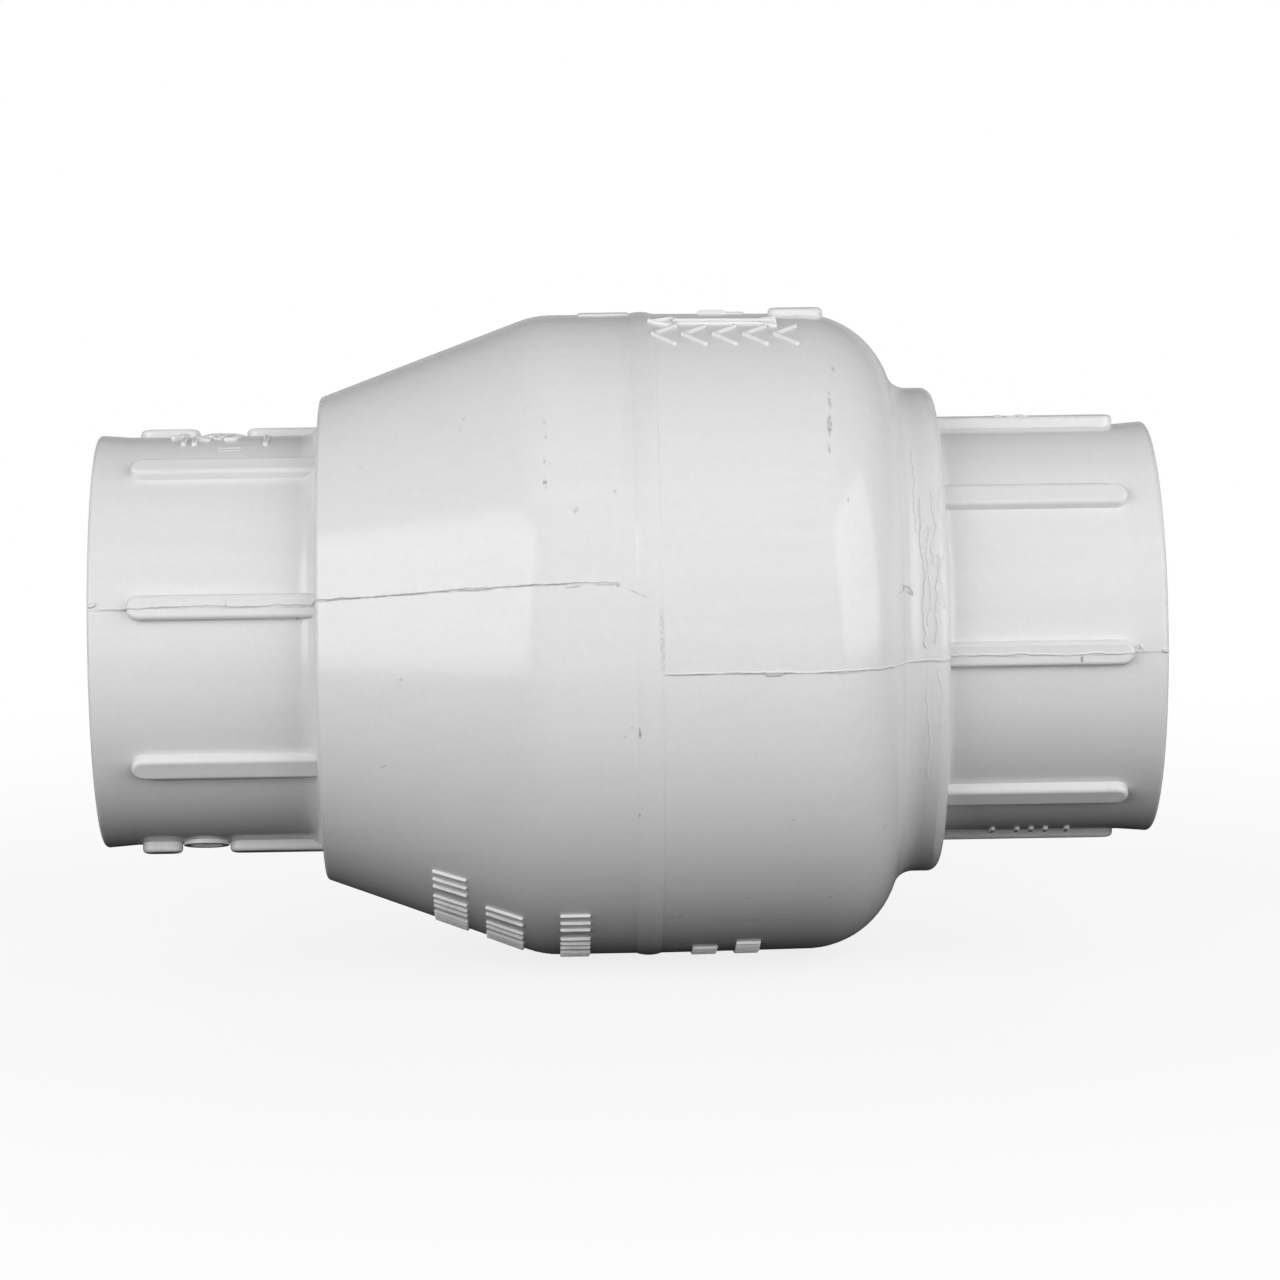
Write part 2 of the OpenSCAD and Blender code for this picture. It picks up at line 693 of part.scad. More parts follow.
// Puts a piece drawn round Z onto the hinge axis, with +Z towards the rear
module on_hinge() {
    along_flow() translate([hinge_z, 0, hinge_s]) rotate([-90, 0, 0]) children();
}

module hinge_pin() {
    color("silver") on_hinge() rotate_extrude() difference() {
        translate([0, -pin_end]) rounded_step(pin_r, 0, 2 * pin_end, 0.4, 0.4);
        for (side = [-1, 1]) translate([groove_r, side * (clip_y + clip_t / 2) - clip_t / 2 - groove_slack])
            square([pin_r, clip_t + 2 * groove_slack]);
    }
}

module pin_clip(side) {
    mouth = 2 * groove_r * 0.8;
    color("dimgray") on_hinge() translate([0, 0, side * (clip_y + clip_t / 2) - clip_t / 2])
        linear_extrude(clip_t) difference() {
            circle(clip_r);
            circle(groove_r + 0.03);
            translate([-clip_r - 1, -mouth / 2]) square([clip_r + 1, mouth]);
        }
}

module pin_clip_front() { pin_clip(-1); }

module pin_clip_rear() { pin_clip(1); }

module thrust_washer(side) {
    middle = hub_w / 2 + thrust_gap + thrust_t / 2;
    bore = pin_r + pin_running;
    color("ivory") on_hinge() translate([0, 0, side * middle - thrust_t / 2]) difference() {
        cylinder(r = bore + thrust_w, h = thrust_t);
        translate([0, 0, -small]) cylinder(r = bore, h = thrust_t + 2 * small);
    }
}

module thrust_washer_front() { thrust_washer(-1); }

module thrust_washer_rear() { thrust_washer(1); }

module arm_bush(side) {
    middle = (hub_w - bush_l) / 2;
    color("ivory") on_hinge() translate([0, 0, side * middle - bush_l / 2]) difference() {
        cylinder(r = bush_r, h = bush_l);
        translate([0, 0, -small]) cylinder(r = pin_r + pin_running, h = bush_l + 2 * small);
    }
}

module arm_bush_front() { arm_bush(-1); }

module arm_bush_rear() { arm_bush(1); }

module flapper_arm() {
    hub_mid = [hinge_up, hinge_out];
    rib_from = disc_washer_r + 1.5;
    rib_to = hinge_up - hub_r / 2;
    eye_w = eye_r - 0.4;
    hub_end = hub_w / 2 - 1;
    color("gainsboro") along_flow() at_seat() difference() {
        union() {
            translate([0, 0, disc_back]) linear_extrude(arm_t) {
                circle(eye_r);
                polygon([[0, eye_w], [hinge_up, hub_end], [hinge_up, -hub_end], [0, -eye_w]]);
            }
            across_flow(hub_w) translate(hub_mid) circle(hub_r);
            across_flow(cam_w) sector(hub_mid, cam_r, cam_start, cam_end);
            across_flow(arm_rib_w) polygon([
                [rib_from, arm_back - 1], [rib_from, arm_back], [rib_from + arm_rib_h, arm_back + arm_rib_h],
                [rib_to, arm_back + arm_rib_h], [rib_to, arm_back - 1]
            ]);
        }
        translate([hinge_up, 0, hinge_out]) rotate([90, 0, 0]) cylinder(r = bush_r, h = 2 * hub_w, center = true);
        translate([0, 0, disc_back - cut_over]) cylinder(r = bolt_hole_r, h = arm_t + 2 * cut_over);
    }
}

// The disc without its ribs, as [radius, downstream]
module disc_profile() {
    rim = 1.6;
    rim_back = seal_back + web_t + 0.9;
    difference() {
        union() {
            translate([0, disc_front]) square([disc_r, seal_back + web_t - disc_front]);
            translate([disc_r - rim, disc_front]) square([rim, rim_back - disc_front - 0.4]);
            translate([disc_r - rim + 0.4, disc_front]) square([rim - 0.8, rim_back - disc_front]);
            for (edge = [0.4, rim - 0.4]) translate([disc_r - rim + edge, rim_back - 0.4]) circle(0.4);
            translate([0, disc_front]) square([pad_r, disc_back - disc_front]);
        }
        translate([0, disc_front - 1]) square([seal_r + seal_fit, recess_h + 1]);
        translate([0, disc_front - 1]) square([bolt_hole_r, disc_back]);
    }
}

module flapper_disc() {
    disc_rib_h = 0.9;
    color("whitesmoke") along_flow() at_seat() {
        rotate_extrude() disc_profile();
        for (index = [1 : 7]) rotate([0, 0, index * 45])
            translate([pad_r - 0.5, -disc_rib_w / 2, seal_back + web_t - 0.5])
                cube([disc_r - pad_r - 0.5, disc_rib_w, disc_rib_h + 0.5]);
    }
}

module seal_disc() {
    color("dimgray") along_flow() at_seat() rotate_extrude()
        translate([bolt_hole_r, seal_face]) square([seal_r - bolt_hole_r, seal_t]);
}

module seal_retainer() {
    color("whitesmoke") along_flow() at_seat() rotate_extrude() difference() {
        translate([0, retainer_face]) rounded_step(retainer_r, 0, retainer_t, retainer_edge, 0);
        translate([0, retainer_face - cut_over]) square([bolt_hole_r, retainer_t + 2 * cut_over]);
        translate([0, retainer_face - cut_over]) square([ring_groove_r, ring_groove_h + cut_over]);
    }
}

module disc_bolt() {
    color("silver") along_flow() at_seat() {
        translate([0, 0, retainer_face - bolt_head_h]) intersection() {
            cylinder(r = hex_r, h = bolt_head_h, $fn = 6);
            rotate_extrude() polygon([
                [0, 0], [hex_af / 2 - 0.2, 0], [hex_r, 0.6], [hex_r, bolt_head_h], [0, bolt_head_h]
            ]);
        }
        translate([0, 0, retainer_face]) cylinder(r = bolt_r, h = bolt_end - retainer_face);
    }
}

module bolt_o_ring() {
    color("dimgray") along_flow() at_seat() translate([0, 0, retainer_face + ring_groove_h / 2])
        rotate_extrude() translate([ring_mid_r, 0]) circle(o_ring_r);
}

module disc_washer() {
    color("silver") along_flow() at_seat() translate([0, 0, arm_back]) difference() {
        cylinder(r = disc_washer_r, h = disc_washer_t);
        translate([0, 0, -small]) cylinder(r = bolt_hole_r, h = disc_washer_t + 2 * small);
    }
}

module lock_nut() {
    collar = hex_af / 2 - 0.3;
    color("silver") along_flow() at_seat() translate([0, 0, washer_back]) difference() {
        union() {
            intersection() {
                cylinder(r = hex_r, h = nut_h, $fn = 6);
                rotate_extrude() polygon([
                    [0, 0], [hex_af / 2 - 0.2, 0], [hex_r, 0.6], [hex_r, nut_h - 0.6], [hex_af / 2 - 0.2, nut_h], [0, nut_h]
                ]);
            }
            cylinder(r = collar, h = nut_h + nut_collar_h);
        }
        translate([0, 0, -cut_over]) cylinder(r = bolt_r + 0.03, h = nut_h + nut_collar_h + 2 * cut_over);
        translate([0, 0, nut_h]) cylinder(r = insert_r, h = nut_collar_h - 0.4);
    }
}

module nut_insert() {
    color("royalblue") along_flow() at_seat() translate([0, 0, nut_back]) difference() {
        cylinder(r = insert_r, h = nut_collar_h - 0.4);
        translate([0, 0, -small]) cylinder(r = bolt_r + 0.03, h = nut_collar_h);
    }
}

outlet_body();
inlet_body();
cement_ring();
hinge_bracket();
bracket_washers();
bracket_screws();
hinge_pin();
pin_clip_front();
pin_clip_rear();
thrust_washer_front();
thrust_washer_rear();
flapper_arm();
arm_bush_front();
arm_bush_rear();
flapper_disc();
seal_disc();
seal_retainer();
disc_bolt();
bolt_o_ring();
disc_washer();
lock_nut();
nut_insert();
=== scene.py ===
"""The dressed swing non-return valve: finishes, mould marks, signs and the studio round it."""
import math
import random

import bmesh
import bpy
from bpy.props import FloatProperty, FloatVectorProperty, IntProperty, PointerProperty
from mathutils import Matrix, Vector
from mathutils.bvhtree import BVHTree


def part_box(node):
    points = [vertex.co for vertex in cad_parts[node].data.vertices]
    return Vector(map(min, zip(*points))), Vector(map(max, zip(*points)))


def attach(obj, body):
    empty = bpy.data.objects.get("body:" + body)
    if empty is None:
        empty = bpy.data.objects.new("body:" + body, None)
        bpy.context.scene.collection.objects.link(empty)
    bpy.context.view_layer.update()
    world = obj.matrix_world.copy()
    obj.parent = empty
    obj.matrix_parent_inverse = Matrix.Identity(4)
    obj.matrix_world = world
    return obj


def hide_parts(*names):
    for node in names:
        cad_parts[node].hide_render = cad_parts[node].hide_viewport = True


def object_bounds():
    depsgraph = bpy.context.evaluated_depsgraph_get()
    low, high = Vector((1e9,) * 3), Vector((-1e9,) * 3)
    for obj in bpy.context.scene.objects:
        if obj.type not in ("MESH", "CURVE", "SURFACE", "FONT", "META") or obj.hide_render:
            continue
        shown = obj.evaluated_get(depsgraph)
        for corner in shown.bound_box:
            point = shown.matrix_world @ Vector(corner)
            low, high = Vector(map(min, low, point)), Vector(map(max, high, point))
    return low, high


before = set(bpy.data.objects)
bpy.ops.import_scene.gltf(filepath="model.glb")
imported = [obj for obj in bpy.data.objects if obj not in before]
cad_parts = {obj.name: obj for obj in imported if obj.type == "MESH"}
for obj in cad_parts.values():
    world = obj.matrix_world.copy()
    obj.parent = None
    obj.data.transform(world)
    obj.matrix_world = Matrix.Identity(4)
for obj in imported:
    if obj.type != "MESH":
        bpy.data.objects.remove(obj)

bl_info = {
    "name": "Swing non-return valve",
    "version": (1, 0, 0),
    "blender": (4, 5, 0),
    "location": "3D View > Sidebar > Valve",
    "description": "Dresses the solids of a moulded swing non-return valve",
    "category": "Object",
}

CAD_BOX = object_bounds()
MM = 0.001
AXIS = Vector((1, 0, 0))
BODY = "valve_body"
FLAPPER = "flapper"
HALVES = ("inlet_body", "outlet_body")
SEAM_X = -40.5 * MM
INLET_MOUTH_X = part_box("inlet_body")[1].x
OUTLET_MOUTH_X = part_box("outlet_body")[0].x
LOWEST_Z = CAD_BOX[0].z
MIDDLE = Vector(((INLET_MOUTH_X + OUTLET_MOUTH_X) / 2, 0, 0))

# Where each half's mould parts, as a clock angle seen from the inlet: 0 is the front, 90 the top
PARTING = {"inlet_body": 0.0, "outlet_body": 15.75}


def turned(clock):
    """The direction away from the axis at a clock angle."""
    angle = math.radians(clock)
    return Vector((0, -math.cos(angle), math.sin(angle)))


def aimed(azimuth, elevation):
    """The direction seen at an azimuth to the right of the front and an elevation."""
    level = math.cos(elevation)
    return Vector((math.sin(azimuth) * level, -math.cos(azimuth) * level, math.sin(elevation)))


def tree_of(node):
    """The faces of a node of the frame, to shoot rays at."""
    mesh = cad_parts[node].data
    corners = [vert.co for vert in mesh.vertices]
    return BVHTree.FromPolygons(corners, [list(face.vertices) for face in mesh.polygons])


def material_of(node):
    """The material that a node of the frame wears."""
    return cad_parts[node].material_slots[0].material


SKINS = {half: tree_of(half) for half in HALVES}


def on_skin(x, clock, halves=HALVES):
    """The outermost point of the moulded skin at x and a clock angle, with its normal."""
    outwards = turned(clock)
    start = Vector((x, 0, 0)) + outwards * 0.08
    found = [SKINS[half].ray_cast(start, -outwards) for half in halves]
    found = [(spot[3], spot[0], spot[1]) for spot in found if spot[0] is not None]
    if not found:
        raise RuntimeError("no skin at x %.4f and clock %.1f" % (x, clock))
    distance, place, normal = min(found, key=lambda spot: spot[0])
    return place, normal if normal.dot(outwards) > 0 else -normal


def middle(node):
    """The middle of a node's box, which for a ring is the middle of the ring."""
    low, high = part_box(node)
    return (low + high) / 2


def flapper_frame():
    """A frame on the flapper's own axis: x up its face, y to the rear, z downstream."""
    front = middle("seal_disc")
    ahead = (middle("disc_washer") - front).normalized()
    rear = Vector((0, 1, 0))
    return Matrix.Translation(front) @ Matrix((rear.cross(ahead), rear, ahead)).transposed().to_4x4()


# Settings


class ValveFinishes(bpy.types.PropertyGroup):
    body_colour: FloatVectorProperty(
        name="Body plastic", description="Colour of the moulded halves",
        subtype="COLOR", size=3, min=0, max=1, default=(0.765, 0.765, 0.763))
    body_roughness: FloatProperty(
        name="Body roughness", description="How matt the moulded halves are",
        subtype="FACTOR", min=0, max=1, default=0.15)
    # The colour of the scuffs and of the dirt along the parting lines, and of the painted shadow line there
    dirt_and_shadow_colour: FloatVectorProperty(
        name="Dirt", description="Colour of scuffs and of dirt along the parting lines",
        subtype="COLOR", size=3, min=0, max=1, default=(0.09, 0.085, 0.08))
    bracket_colour: FloatVectorProperty(
        name="Bracket plastic", description="Colour of the hinge bracket and the arm",
        subtype="COLOR", size=3, min=0, max=1, default=(0.60, 0.61, 0.62))
    flapper_colour: FloatVectorProperty(
        name="Flapper plastic", description="Colour of the disc and the plate that clamps its facing",
        subtype="COLOR", size=3, min=0, max=1, default=(0.74, 0.745, 0.75))
    rubber_colour: FloatVectorProperty(
        name="Rubber", description="Colour of the facing and of the ring under the bolt's head",
        subtype="COLOR", size=3, min=0, max=1, default=(0.022, 0.022, 0.024))
    steel_colour: FloatVectorProperty(
        name="Steel", description="Colour of the stainless parts",
        subtype="COLOR", size=3, min=0, max=1, default=(0.56, 0.57, 0.58))


class ValveMarks(bpy.types.PropertyGroup):
    flash_width: FloatProperty(
        name="Flash width", description="Width of the ridge along a parting line",
        unit="LENGTH", min=0.0001, max=0.001, default=0.00034)
    flash_height: FloatProperty(
        name="Flash height", description="Height of the ridge along a parting line",
        unit="LENGTH", min=0.00002, max=0.0005, default=0.00013)
    flash_wander: FloatProperty(
        name="Flash wander", description="How far a parting line wanders to each side",
        unit="LENGTH", min=0, max=0.001, default=0.00022)
    sign_height: FloatProperty(
        name="Sign height", description="Height of the raised arrow and chevrons",
        unit="LENGTH", min=0.0001, max=0.001, default=0.0004)
    seed: IntProperty(name="Seed", description="Start of the random draws", min=0, default=11)


class ValveStage(bpy.types.PropertyGroup):
    lens: FloatProperty(
        name="Lens", description="Focal length",
        unit="CAMERA", min=20, max=300, default=150)
    azimuth: FloatProperty(
        name="Azimuth", description="Turn of the camera to the right of the front",
        subtype="ANGLE", default=math.radians(-1.174))
    elevation: FloatProperty(
        name="Elevation", description="Rise of the camera",
        subtype="ANGLE", default=math.radians(7.05))
    roll: FloatProperty(
        name="Roll", description="Turn of the camera about its own line of sight",
        subtype="ANGLE", default=math.radians(-0.742))
    distance: FloatProperty(
        name="Distance", description="From the camera to its target",
        unit="LENGTH", min=0.2, default=0.75102)
    floor_colour: FloatVectorProperty(
        name="Floor", description="Colour of the floor",
        subtype="COLOR", size=3, min=0, max=1, default=(0.86, 0.86, 0.86))


# Finishes


class Nodes:
    """An empty node tree with short ways to fill it."""

    def __init__(self, tree):
        self.tree = tree
        tree.nodes.clear()

    def node(self, kind, sockets=None, **settings):
        """A new node with its settings, and its sockets fed from values or other nodes."""
        made = self.tree.nodes.new(kind)
        for key, value in settings.items():
            setattr(made, key, value)
        for key, value in (sockets or {}).items():
            self.feed(made.inputs[key], value)
        return made

    def feed(self, socket, value):
        if isinstance(value, bpy.types.NodeSocket):
            self.tree.links.new(value, socket)
        else:
            socket.default_value = value

    def combined(self, operation, a, b=0.0):
        """The result of a Math node."""
        return self.node("ShaderNodeMath", {0: a, 1: b}, operation=operation).outputs[0]

    def plus(self, a, b):
        return self.combined("ADD", a, b)

    def minus(self, a, b):
        return self.combined("SUBTRACT", a, b)

    def times(self, a, b):
        return self.combined("MULTIPLY", a, b)

    def ramp(self, value, low, high, start=0.0, end=1.0, smooth=True):
        """Runs from start to end as value goes from low to high."""
        kind = "SMOOTHSTEP" if smooth else "LINEAR"
        sockets = {0: value, 1: low, 2: high, 3: start, 4: end}
        return self.node("ShaderNodeMapRange", sockets, interpolation_type=kind).outputs[0]

    def mix(self, factor, a, b):
        return self.node("ShaderNodeMix", {0: factor, 6: a, 7: b}, data_type="RGBA").outputs[2]


class Finish(Nodes):
    """A procedural material, whose patterns are laid out in the object's own metres."""

    def __init__(self, name):
        self.material = bpy.data.materials.new(name)
        self.material.use_nodes = True
        super().__init__(self.material.node_tree)
        self.output = self.node("ShaderNodeOutputMaterial")
        self.shader = self.node("ShaderNodeBsdfPrincipled")
        self.tree.links.new(self.shader.outputs[0], self.output.inputs[0])
        self.place = self.node("ShaderNodeTexCoord").outputs["Object"]

    def moved(self, place=(0, 0, 0), turn=(0, 0, 0), scale=(1, 1, 1)):
        """Coordinates counted from a place, along axes turned with it."""
        sockets = {0: self.place, 1: place, 2: turn, 3: scale}
        return self.node("ShaderNodeMapping", sockets, vector_type="TEXTURE").outputs[0]

    def noise(self, size, detail=2.0, roughness=0.5, at=None, distortion=0.0):
        """Noise whose blotches are about as large as size, in metres."""
        sockets = {"Vector": at or self.place, "Scale": 1 / size}
        sockets |= {"Detail": detail, "Roughness": roughness, "Distortion": distortion}
        return self.node("ShaderNodeTexNoise", sockets).outputs[0]

    def shade(self, colour, value, spread):
        """The colour made lighter and darker by spread, as value runs from 0 to 1."""
        dark = [part * (1 - spread) for part in colour] + [1]
        light = [min(1, part * (1 + spread)) for part in colour] + [1]
        return self.mix(value, dark, light)

    def bump(self, height, depth, under=None):
        """Relief of a depth in metres, laid over another one if there is one under it."""
        sockets = {"Strength": 1.0, "Distance": depth, "Height": height}
        if under:
            sockets["Normal"] = under
        return self.node("ShaderNodeBump", sockets).outputs[0]

    def finish(self, colour, roughness, normal=None, **uniform):
        """Feeds the shader, with what is uniform set on its own sockets, and gives the material."""
        self.feed(self.shader.inputs["Base Color"], colour)
        self.feed(self.shader.inputs["Roughness"], roughness)
        if normal:
            self.feed(self.shader.inputs["Normal"], normal)
        for key, value in uniform.items():
            self.feed(self.shader.inputs[key.replace("_", " ")], value)
        return self.material


# The sizes of the skin's patterns: clouds of tone, drawn flow lines and specks
CLOUD_SIZE, FLOW_SIZE, SPECK_SIZE = 0.035, 0.0022, 0.0009

# The dirt and painted shadow along a parting line: how far below the parting plane they lie, how far they
# stray, where their edge fades, and how much of the colour of the dirt, painted shadow and scuffs shows at
# most
LINE_BELOW, LINE_STRAY, LINE_EDGE, DIRT_AND_SHADOW_SHARE = 0.0002, 0.0006, (0.00003, 0.00023), 0.85

# How far the facing reaches past the middle of the seat lip
SEAL_PAST_LIP = 0.0018

# Where the painted shade in each hollow begins and ends with its strength, and where the parting line's
# dirt and painted shadow turn from faint to strong with how dark they get there
HOLLOWS = {"inlet_body": (-0.001, 0.008, 0.02), "outlet_body": (-0.087, -0.096, 0.02)}
LINE_DARKENING = {"inlet_body": (-0.012, -0.02, 0.52), "outlet_body": (-0.09, -0.084, 0.72)}

# Where the dirt and painted shadow of the outlet half's line thin on the way to the seam, and where they
# end
LINE_THINS, LINE_ENDS = (-0.058, -0.051), (-0.0464, -0.0458)

# The bead's grey band: where it starts and ends along x, how high up it begins, and how strong it gets
BEAD_START, BEAD_END, BEAD_HEIGHT, BEAD_SHADE = (-0.0458, -0.0448), (-0.0416, -0.0408), (0.02, 0.035), 0.04

# The colours of the dust on the rubber and of the shade in the hollows
DUST, SHADE = (0.075, 0.074, 0.07, 1), (0.2, 0.2, 0.2, 1)

# How far a scuff reaches into the plastic
SCUFF_DEPTH = 1.2 * MM

# Scuffs as (half, x in mm, clock, half length along x, half width round, turn, darkness)
SCUFFS = [
    ("outlet_body", -55.7, 46.5, 0.5, 0.25, 90, 0.35),
    ("outlet_body", -55.6, 43.0, 0.7, 0.22, 85, 0.4),
    ("outlet_body", -55.8, 38.5, 1.1, 0.2, 88, 0.35),
    ("outlet_body", -55.8, 33.8, 1.2, 0.35, 95, 0.8),
    ("outlet_body", -66.6, 52.4, 0.4, 0.2, 20, 0.5),
    ("outlet_body", -67.1, 50.0, 0.5, 0.25, 70, 0.55),
    ("outlet_body", -80.8, 46.5, 0.5, 0.2, 30, 0.4),
    ("outlet_body", -51.7, 28.6, 0.8, 0.35, 60, 0.3),
    ("outlet_body", -46.5, 31.9, 0.5, 0.25, 100, 0.5),
    ("outlet_body", -43.7, -10.2, 1.0, 0.22, 92, 0.75),
    ("outlet_body", -45.7, -10.8, 0.35, 0.3, 0, 0.5),
    ("outlet_body", -44.8, -9.2, 0.3, 0.25, 40, 0.4),
    ("outlet_body", -78.0, -20.9, 0.8, 0.15, 30, 0.5),
    ("outlet_body", -75.4, -1.6, 0.4, 0.2, 10, 0.4),
    ("outlet_body", -43.8, -25.8, 0.4, 0.2, 90, 0.45),
    ("outlet_body", -89.5, 12.4, 0.35, 0.3, 0, 0.7),
    ("inlet_body", -17.2, 51.5, 2.2, 0.3, 92, 0.5),
    ("inlet_body", -17.4, 45.5, 2.4, 0.42, 88, 0.6),
    ("inlet_body", -17.7, 40.5, 1.2, 0.3, 96, 0.45),
    ("inlet_body", -16.4, 60.7, 0.9, 0.3, 100, 0.4),
    ("inlet_body", -15.4, 30.6, 0.7, 0.2, 95, 0.4),
    ("inlet_body", -23.1, -27.5, 0.4, 0.2, 0, 0.45),
    ("inlet_body", -16.9, -47.5, 1.9, 0.25, 5, 0.35),
    ("inlet_body", -28.9, -47.0, 0.4, 0.25, 20, 0.4),
    ("inlet_body", -28.1, -54.9, 0.7, 0.2, 10, 0.35),
    ("inlet_body", -38.6, -52.9, 1.7, 0.25, 5, 0.35),
    ("inlet_body", -10.6, -34.2, 0.7, 0.2, 40, 0.4),
    ("inlet_body", -7.9, 15.4, 0.75, 0.5, 30, 1.0),
    ("inlet_body", -7.0, 15.0, 0.9, 0.25, -20, 0.7),
    ("inlet_body", 16.6, -1.4, 0.75, 0.24, 90, 1.0),
    ("outlet_body", -99.1, 16.2, 0.8, 0.16, 90, 0.4),
    ("outlet_body", -43.9, 13.9, 2.8, 0.16, -25, 0.3),
    ("outlet_body", -46.4, 15.2, 0.45, 0.3, 10, 0.6),
    ("outlet_body", -40.7, 5.8, 6.2, 0.2, 91, 0.3),
    ("inlet_body", -40.4, 5.8, 6.2, 0.2, 91, 0.3),
    ("outlet_body", -50.5, 152.0, 1.1, 0.25, 95, 0.5),
    ("outlet_body", -63.0, 171.0, 0.6, 0.25, 60, 0.45),
    ("outlet_body", -76.0, 203.0, 0.9, 0.2, 20, 0.45),
    ("outlet_body", -98.0, 214.0, 0.6, 0.2, 80, 0.4),
    ("inlet_body", -20.5, 163.0, 1.4, 0.3, 88, 0.5),
    ("inlet_body", -31.5, 199.0, 0.8, 0.22, 15, 0.4),
    ("inlet_body", -13.0, 189.0, 0.5, 0.3, 40, 0.6),
    ("inlet_body", 12.0, 213.0, 0.7, 0.22, 75, 0.4),
]


def hollow_shade(made, half, along, cloud):
    """Painted shade in the hollow beside the cone or collar, and the bead's band on the outlet half."""
    root, open_side, shade = HOLLOWS[half]
    hollow = made.ramp(along, root, open_side, shade, 0.0)
    hollow = made.times(hollow, made.ramp(along, root, root - (open_side - root) / 20, 1.0, 0.0))
    if half == "inlet_body":
        return hollow
    # The bead beside the seam is a little greyer at the top, with ragged edges
    ragged = made.plus(along, made.times(made.minus(cloud, 0.5), 0.004))
    band = made.ramp(ragged, *BEAD_START)
    band = made.times(band, made.ramp(ragged, *BEAD_END, 1.0, 0.0))
    height = made.node("ShaderNodeSeparateXYZ", {0: made.place}).outputs[2]
    band = made.times(band, made.ramp(height, *BEAD_HEIGHT, 0.0, BEAD_SHADE))
    return made.plus(hollow, band)


def line_dirt_and_shadow(made, half, along):
    """Dirt with a painted shadow line along the parting line, lying just below it, in broken stretches."""
    parted = made.moved(turn=(-math.radians(PARTING[half]), 0, 0))
    wander = made.times(made.minus(made.noise(0.006, 2), 0.5), LINE_STRAY)
    across = made.node("ShaderNodeSeparateXYZ", {0: parted}).outputs[2]
    across = made.plus(made.plus(across, LINE_BELOW), wander)
    line = made.ramp(made.combined("ABSOLUTE", across), *LINE_EDGE, 1.0, 0.0)
    broken = made.ramp(made.noise(0.004, 4, 0.7), 0.36, 0.6, 0.3, 1.0)
    faint_x, strong_x, darkest = LINE_DARKENING[half]
    broken = made.times(broken, made.ramp(along, faint_x, strong_x, 0.3, darkest))
    if half == "outlet_body":
        broken = made.times(broken, made.ramp(along, *LINE_THINS, 1.0, 0.55))
        broken = made.times(broken, made.ramp(along, *LINE_ENDS, 1.0, 0.0))
    dirt_and_shadow = made.times(line, broken)

    # The bores are shaped by cores, so they have no parting line
    out = made.node("ShaderNodeVectorMath", {0: made.place, 1: (0, 1, 1)}, operation="MULTIPLY").outputs[0]
    normal = made.node("ShaderNodeTexCoord").outputs["Normal"]
    facing = made.node("ShaderNodeVectorMath", {0: out, 1: normal}, operation="DOT_PRODUCT")
    return made.times(dirt_and_shadow, made.ramp(facing.outputs["Value"], 0.0, 0.002, smooth=False))


def scuffed(made, half, dirt_and_shadow):
    """The parting line's dirt and painted shadow with the scuffs of a half added, each scuff a soft streak
    lying on the skin.
    """
    rough_edge = made.ramp(made.noise(0.0007, 3, 0.7), 0.35, 0.62)
    for where, x, clock, length, width, turn, dark in SCUFFS:
        if where != half:
            continue
        spot = on_skin(x * MM, clock, (half,))[0]
        out = turned(clock)
        flat = Matrix((AXIS, out.cross(AXIS), out)).transposed()
        flat = flat @ Matrix.Rotation(math.radians(turn), 3, "Z")
        size = (length * MM, width * MM, SCUFF_DEPTH)
        spread = {0: made.moved(spot, flat.to_euler(), size)}
        streak = made.node("ShaderNodeTexGradient", spread, gradient_type="SPHERICAL").outputs[1]
        streak = made.times(made.ramp(streak, 0.0, 0.55), made.times(rough_edge, dark))
        dirt_and_shadow = made.combined("MAXIMUM", dirt_and_shadow, streak)
    return dirt_and_shadow


def moulded_plastic(half, finishes):
    """White moulded plastic with dirt and a painted shadow line along its parting line, painted shade in
    the hollows, scuffs and a fine uneven skin.
    """
    made = Finish(half + "_plastic")
    cloud = made.noise(CLOUD_SIZE, 1, 0.5)
    flow = made.noise(FLOW_SIZE, 2, 0.5, at=made.moved(scale=(12, 1, 1)))
    speck = made.noise(SPECK_SIZE, 3, 0.6)
    tone = made.plus(made.times(cloud, 0.35), made.times(flow, 0.25))
    tone = made.plus(tone, made.times(speck, 0.4))
    base = made.shade(finishes.body_colour, tone, 0.1)

    along = made.node("ShaderNodeSeparateXYZ", {0: made.place}).outputs[0]
    # Painted shade darkens the skin in the hollow beside the cone or the collar
    base = made.mix(hollow_shade(made, half, along, cloud), base, SHADE)
    dirt_and_shadow = scuffed(made, half, line_dirt_and_shadow(made, half, along))
    # Dirt, scuffs and the painted shadow line along the parting line darken the base
    base = made.mix(made.times(dirt_and_shadow, DIRT_AND_SHADOW_SHARE), base, tuple(finishes.dirt_and_shadow_colour) + (1,))

    skin = made.bump(made.noise(FLOW_SIZE, 2, 0.5), 0.00003)
    skin = made.bump(speck, 0.00001, skin)
    roughness = made.ramp(tone, 0.3, 0.7, finishes.body_roughness - 0.03, finishes.body_roughness + 0.05)
    roughness = made.plus(roughness, made.times(dirt_and_shadow, 0.3))
    return made.finish(base, roughness, skin, IOR=1.53)


def plain_plastic(name, colour, roughness, spread=0.06):
    """An inner moulded plastic with a fine grain and small blotches."""
    made = Finish(name)
    tone = made.noise(0.006, 4, 0.6)
    grit = made.noise(0.0014, 3, 0.6)
    both = made.plus(made.times(tone, 0.6), made.times(grit, 0.4))
    base = made.shade(colour, both, spread)
    wet = made.ramp(made.noise(0.004, 3, 0.5), 0.3, 0.7, roughness - 0.07, roughness + 0.1)
    return made.finish(base, wet, made.bump(grit, 0.00002), IOR=1.5)


